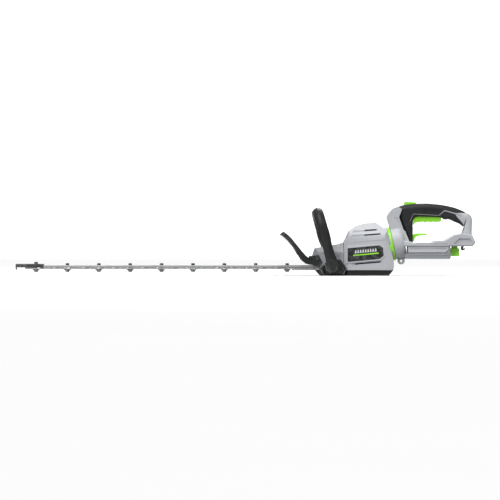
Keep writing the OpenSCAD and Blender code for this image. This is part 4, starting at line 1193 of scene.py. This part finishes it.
def make_handle_screws():
    """The screws that hold the handle shells, on the left side."""
    heads = [screw_head((x, y, z), (0, 1, 0), 3.2, 2.4)
             for x, y, z in ((385, 21.5, 160), (548, 16.6, 157), (575, 16.8, 118), (566, 25.2, 88.5))]
    joined(heads).piece("handle-screw-heads", "rear_handle", "black_steel", replaces=["handle_screws"])


def make_trigger():
    """The trigger, with three finger waves."""
    outline = [(433.8, 130), (437.5, 134.6), (441.5, 137), (450, 138.2), (478, 137.9), (503, 138.6),
               (505.6, 141), (506, 149), (503, 158), (442.6, 158), (438, 150.6), (435.4, 145)]
    trigger = Solid.across(outline, -9, 9).soften(2.4, 4)
    waves = [Solid.rod((x, -10, 134.6), (0, 1, 0), 4.6, 20, 28) for x in (459, 472, 485)]
    trigger.cut(*waves)
    trigger.piece("trigger-bar", "trigger_body", "green_plastic", replaces=["trigger"])


def make_lock_off():
    """The lock-off slider, with grooves across its top."""
    outline = [(410.2, 176), (441.8, 176), (441.8, 187.4), (438.5, 189.6), (426, 190.6), (413, 191),
               (410.2, 189.2)]
    button = Solid.across(outline, -7, 7).soften(1.3, 3)
    ridges = [Solid.block((x, -9, 189.4 - (x - 414) * 0.05), (x + 1.2, 9, 194)) for x in range(417, 434, 4)]
    button.cut(*ridges)
    button.piece("lock-off-slider", "lock_off_body", "green_plastic", replaces=["lock_off_button"])


def make_swivel_lever():
    """The lever that frees the swivel."""
    outline = [(422, 88.5), (430, 87.2), (435.2, 88), (438.6, 96.5), (442, 100.4), (447.5, 102.8),
               (458, 103.4), (468, 103.6), (469.4, 106), (468, 108.8), (456, 108.9), (444, 109.2),
               (435, 107.2), (430.6, 102), (424, 109), (420, 109), (420, 100)]
    lever = Solid.across(outline, -5, 5).soften(1.1, 3)
    lever.piece("swivel-release", "lever_body", "green_plastic", replaces=["swivel_lever"])


def make_battery_latch():
    """The battery latch, ribbed at the rear and bored for its spring."""
    lo, hi = low("battery_latch"), high("battery_latch")
    x0, x1 = lo.x - DATUM, hi.x - DATUM
    latch = Solid.block((x0, lo.y, lo.z), (x1, hi.y, 70.4)).soften(1.8, 3)
    latch.cut(*[Solid.block((x1 - 1.2, lo.y + 4, z), (x1 + 2, hi.y - 4, z + 1.4)) for z in range(54, 67, 4)])
    field = [(x0 + 4, 53), (x1 - 4, 53), (x1 - 4, 66), (x0 + 4, 66)]
    latch.cut(*[Solid.on_side(field, s, hi.y - 0.7, hi.y + 2) for s in (-1, 1)])
    latch.add(Solid.block((x0 + 4, -9, 69), (x1 - 4, 9, hi.z)))
    spring_lo, spring_hi = low("latch_spring"), high("latch_spring")
    middle = (spring_lo + spring_hi) / 2
    # the bore under the spring is deep enough for the press
    press, spring_r = 4.0, (spring_hi.y - spring_lo.y) / 2
    bore_at = (middle.x - DATUM, middle.y, spring_lo.z - press - 0.6)
    latch.cut(Solid.rod(bore_at, UP, spring_r + 0.5, 40, 24))
    latch.piece("battery-latch", "latch_body", "green_plastic", replaces=["battery_latch"])


def make_dock():
    """The channel that takes the battery, with a wall along each side."""
    dock = Solid.across([(419, 73), (523, 73), (523, 75.5), (419, 75.5)], -RAIL_HALF, RAIL_HALF)
    wall_side = [(419, 59), (514, 59), (523, 66), (523, 75.5), (419, 75.5)]
    field = [(424, 62.4), (512, 62.4), (518, 67.4), (518, 70.6), (424, 70.6)]
    for s in (-1, 1):
        wall = Solid.on_side(wall_side, s, RAIL_HALF - 7, RAIL_HALF).soften(1.3, 3)
        dock.add(wall.cut(Solid.on_side(field, s, RAIL_HALF - 1.0, RAIL_HALF + 3).soften(0.6, 2)))
    dock.piece("dock-channel", "rear_handle", "shell_silver", replaces=["battery_dock"])


def make_rails():
    """Two grooved rails, each with a tongue into the dock and a brace at its rear end."""
    rail_side = [(412, 43), (527, 43), (529, 46), (529, 56.7), (412, 56.7)]
    groove = [(418, 50.4), (529.5, 50.4), (529.5, 51.6), (418, 51.6)]
    tongue = [(419, 56), (512, 56), (512, 59.4), (419, 59.4)]
    brace = [(504, 56.8), (528, 56.8), (528, 75.3), (518, 75.3)]
    rails = []
    for s in (-1, 1):
        rail = Solid.on_side(rail_side, s, RAIL_HALF - 10, RAIL_HALF).soften(1.2, 3)
        rail.cut(Solid.on_side(groove, s, RAIL_HALF - 0.9, RAIL_HALF + 2))
        rail.add(Solid.on_side(tongue, s, RAIL_HALF - 8.5, RAIL_HALF - 3))
        rails.append(rail)
    for s in (-1, 1):
        rails.append(Solid.on_side(brace, s, RAIL_HALF - 6.5, RAIL_HALF - 2).soften(0.8, 2))
    joined(rails).piece("slide-rails", "rear_handle", "rail_grey", "dark_grey_plastic", ["battery_rails"])


def make_catch():
    """The small hook behind the latch."""
    outline = [(557, 75.4), (558, 66.4), (561.6, 64.2), (569.5, 67.8), (567.6, 70.8), (563, 69.2),
               (565, 75.4)]
    hook = Solid.across(outline, -6, 6).soften(0.9, 3)
    hook.piece("rear-catch", "rear_handle", "dark_grey_plastic", replaces=["rear_hook"])


# ---------------------------------------------------------------- carried-over pieces


def finish_inner_pieces():
    """Gives every CAD node the finish of its slot."""
    slots = {s["node"]: s["material_slot"] for s in frame["record"]["subparts"]}
    for node, obj in frame["nodes"].items():
        obj.data.materials.clear()
        obj.data.materials.append(FINISHES[slots[node]])


# ---------------------------------------------------------------- stage


def area_light(name, at, aim, size, power):
    """A round soft light that points at a place."""
    light = bpy.data.lights.new(name, "AREA")
    light.shape, light.size, light.energy = "DISK", size, power
    obj = bpy.data.objects.new(name, light)
    obj.location = at
    obj.rotation_euler = (Vector(aim) - Vector(at)).to_track_quat("-Z", "Y").to_euler()
    bpy.context.scene.collection.objects.link(obj)


def round_sheet(name, rings, steps=64):
    """A sheet through rings of (radius, height) about the vertical, closed at its first ring."""
    turns = [2 * math.pi * k / steps for k in range(steps)]
    verts = [(r * math.cos(a), r * math.sin(a), z) for r, z in rings for a in turns]
    faces = []
    for i in range(len(rings) - 1):
        here, there = i * steps, (i + 1) * steps
        faces += [(here + k, there + k, there + (k + 1) % steps, here + (k + 1) % steps)
                  for k in range(steps)]
    mesh = bpy.data.meshes.new(name)
    mesh.from_pydata(verts, [], faces + [tuple(range(steps))])
    obj = bpy.data.objects.new(name, mesh)
    bpy.context.scene.collection.objects.link(obj)
    return obj


def make_stage(looks):
    """Pale floor in a bright round backdrop, soft lights, and a long lens square on to the right side."""
    floor = round_sheet("floor", [(14, -0.0006)])
    paper = Recipe("studio paper")
    tone = paper.noise(3, 2)
    paper.finish(paper.mix(tone, (0.92, 0.92, 0.92, 1), (0.94, 0.94, 0.94, 1)), 0.95)
    floor.data.materials.append(paper.material)
    floor.visible_diffuse = False

    backdrop = round_sheet("backdrop", [(13.9, -0.05), (14, 0.5), (14, 9), (8, 13), (1, 14)])
    bright = Recipe("bright paper")
    bright.finish((0.8, 0.8, 0.8, 1), 1.0)
    bright.shader.inputs["Emission Color"].default_value = (1, 1, 1, 1)
    bright.shader.inputs["Emission Strength"].default_value = 0.9
    backdrop.data.materials.append(bright.material)
    backdrop.visible_diffuse = backdrop.visible_glossy = backdrop.visible_shadow = False

    world = bpy.data.worlds.new("studio")
    bpy.context.scene.world = world
    world.use_nodes = True
    world.node_tree.nodes["Background"].inputs["Color"].default_value = (1.0, 1.0, 1.0, 1.0)
    world.node_tree.nodes["Background"].inputs["Strength"].default_value = looks.sky_strength
    sun = bpy.data.lights.new("overhead", "SUN")
    sun.energy, sun.angle = 2.3, math.radians(50)
    obj = bpy.data.objects.new("overhead", sun)
    obj.rotation_euler = (math.radians(24), math.radians(-14), 0)
    bpy.context.scene.collection.objects.link(obj)
    area_light("key", (-1.0, -2.4, 1.9), (0.15, 0, 0.07), 0.9, 30)
    area_light("edge", (1.6, -1.2, 1.6), (0.25, 0, 0.07), 0.5, 8)
    area_light("back", (0.4, 2.2, 1.8), (0.1, 0, 0.07), 1.2, 22)

    camera = bpy.data.cameras.new("camera")
    camera.lens, camera.sensor_width = 200, 36
    view_width, view_x, view_z = 1.295, 0.0114, 0.0658
    distance = camera.lens * view_width / camera.sensor_width
    obj = bpy.data.objects.new("camera", camera)
    obj.location = (view_x, -distance, view_z)
    obj.rotation_euler = (math.radians(90), 0, 0)
    bpy.context.scene.collection.objects.link(obj)
    bpy.context.scene.camera = obj
    bpy.context.scene.view_settings.view_transform = "Standard"


# ---------------------------------------------------------------- add-on


class TrimmerLooks(bpy.types.PropertyGroup):
    """Sizes and colours a user would change."""

    shell_colour: FloatVectorProperty(
        name="Shell", description="Colour of the silver shells", subtype="COLOR", size=3,
        min=0, max=1, default=(0.45, 0.462, 0.488))
    nose_colour: FloatVectorProperty(
        name="Nose", description="Colour of the gear case", subtype="COLOR", size=3,
        min=0, max=1, default=(0.30, 0.31, 0.33))
    green_colour: FloatVectorProperty(
        name="Green", description="Colour of the parts a hand works", subtype="COLOR", size=3,
        min=0, max=1, default=(0.27, 0.74, 0.015))
    black_colour: FloatVectorProperty(
        name="Black", description="Colour of grips, guard and base", subtype="COLOR", size=3,
        min=0, max=1, default=(0.010, 0.0105, 0.0115))
    edge_radius: FloatProperty(
        name="Edge rounding", description="Rounding of the casing's edges, in millimetres",
        min=0.5, max=4.0, default=1.7)
    tube_radius: FloatProperty(
        name="Loop tube", description="Radius of the front loop's tube", unit="LENGTH",
        min=0.010, max=0.016, default=0.0143)
    sky_strength: FloatProperty(
        name="Sky", description="Brightness of the even studio light", min=0.0, max=3.0, default=0.42)


class TRIMMER_OT_finishes(bpy.types.Operator):
    """Make every finish that the pieces wear."""

    bl_idname = "trimmer.finishes"
    bl_label = "Finishes"

    def execute(self, context):
        make_finishes(context.scene.trimmer_looks)
        return {"FINISHED"}


class TRIMMER_OT_stage(bpy.types.Operator):
    """Build the floor, backdrop, lights and camera."""

    bl_idname = "trimmer.stage"
    bl_label = "Stage"

    def execute(self, context):
        make_stage(context.scene.trimmer_looks)
        return {"FINISHED"}


class TRIMMER_OT_inner(bpy.types.Operator):
    """Finish the pieces that are carried over from the frame."""

    bl_idname = "trimmer.inner"
    bl_label = "Inner pieces"

    def execute(self, context):
        finish_inner_pieces()
        return {"FINISHED"}


class TRIMMER_OT_blades(bpy.types.Operator):
    """Build both toothed blades."""

    bl_idname = "trimmer.blades"
    bl_label = "Blades"

    def execute(self, context):
        make_blades()
        return {"FINISHED"}


class TRIMMER_OT_bar(bpy.types.Operator):
    """Build the bar with its bolts, nuts and tip cap."""

    bl_idname = "trimmer.bar"
    bl_label = "Support bar"

    def execute(self, context):
        make_bar()
        make_bolts()
        make_tip_guard()
        return {"FINISHED"}


class TRIMMER_OT_nose(bpy.types.Operator):
    """Build the gear case and the skid base."""

    bl_idname = "trimmer.nose"
    bl_label = "Gear nose"

    def execute(self, context):
        make_nose(context.scene.trimmer_looks)
        make_skid()
        return {"FINISHED"}


class TRIMMER_OT_housing(bpy.types.Operator):
    """Build the housing halves, badges and screws."""

    bl_idname = "trimmer.housing"
    bl_label = "Motor housing"

    def execute(self, context):
        make_housing(context.scene.trimmer_looks)
        make_badges()
        make_case_screws()
        return {"FINISHED"}


class TRIMMER_OT_guard(bpy.types.Operator):
    """Build the hand guard and its screws."""

    bl_idname = "trimmer.guard"
    bl_label = "Hand guard"

    def execute(self, context):
        make_hand_guard()
        return {"FINISHED"}


class TRIMMER_OT_loop(bpy.types.Operator):
    """Build the front loop handle and its boots."""

    bl_idname = "trimmer.loop"
    bl_label = "Front loop"

    def execute(self, context):
        make_front_handle(context.scene.trimmer_looks)
        make_boots()
        return {"FINISHED"}


class TRIMMER_OT_swivel(bpy.types.Operator):
    """Build the green band and the silver collar."""

    bl_idname = "trimmer.swivel"
    bl_label = "Swivel ring"

    def execute(self, context):
        make_swivel_ring()
        return {"FINISHED"}


class TRIMMER_OT_rear(bpy.types.Operator):
    """Build the rear shells, the grip and the screws."""

    bl_idname = "trimmer.rear"
    bl_label = "Rear handle"

    def execute(self, context):
        make_handle_shells()
        make_grip()
        make_handle_screws()
        return {"FINISHED"}


class TRIMMER_OT_controls(bpy.types.Operator):
    """Build the trigger, lock-off, swivel lever and latch."""

    bl_idname = "trimmer.controls"
    bl_label = "Controls"

    def execute(self, context):
        make_trigger()
        make_lock_off()
        make_swivel_lever()
        make_battery_latch()
        return {"FINISHED"}


class TRIMMER_OT_dock(bpy.types.Operator):
    """Build the dock channel, rails and catch."""

    bl_idname = "trimmer.dock"
    bl_label = "Battery dock"

    def execute(self, context):
        make_dock()
        make_rails()
        make_catch()
        return {"FINISHED"}


OPERATORS = [
    TRIMMER_OT_finishes, TRIMMER_OT_stage, TRIMMER_OT_inner, TRIMMER_OT_blades,
    TRIMMER_OT_bar, TRIMMER_OT_nose, TRIMMER_OT_housing, TRIMMER_OT_guard,
    TRIMMER_OT_loop, TRIMMER_OT_swivel, TRIMMER_OT_rear, TRIMMER_OT_controls,
    TRIMMER_OT_dock,
]


class TRIMMER_PT_looks(bpy.types.Panel):
    """Lists the sizes, colours and builders in the 3D view's sidebar."""

    bl_label = "Trimmer"
    bl_space_type = "VIEW_3D"
    bl_region_type = "UI"
    bl_category = "Trimmer"

    def draw(self, context):
        looks = context.scene.trimmer_looks
        for name in TrimmerLooks.__annotations__:
            self.layout.prop(looks, name)
        for operator in OPERATORS:
            self.layout.operator(operator.bl_idname)


CLASSES = [TrimmerLooks, *OPERATORS, TRIMMER_PT_looks]


def register():
    for cls in CLASSES:
        bpy.utils.register_class(cls)
    bpy.types.Scene.trimmer_looks = PointerProperty(type=TrimmerLooks)


def unregister():
    del bpy.types.Scene.trimmer_looks
    for cls in reversed(CLASSES):
        bpy.utils.unregister_class(cls)


def main():
    register()
    for operator in OPERATORS:
        getattr(bpy.ops.trimmer, operator.bl_idname.split(".")[1])()


if __name__ == "__main__":
    main()
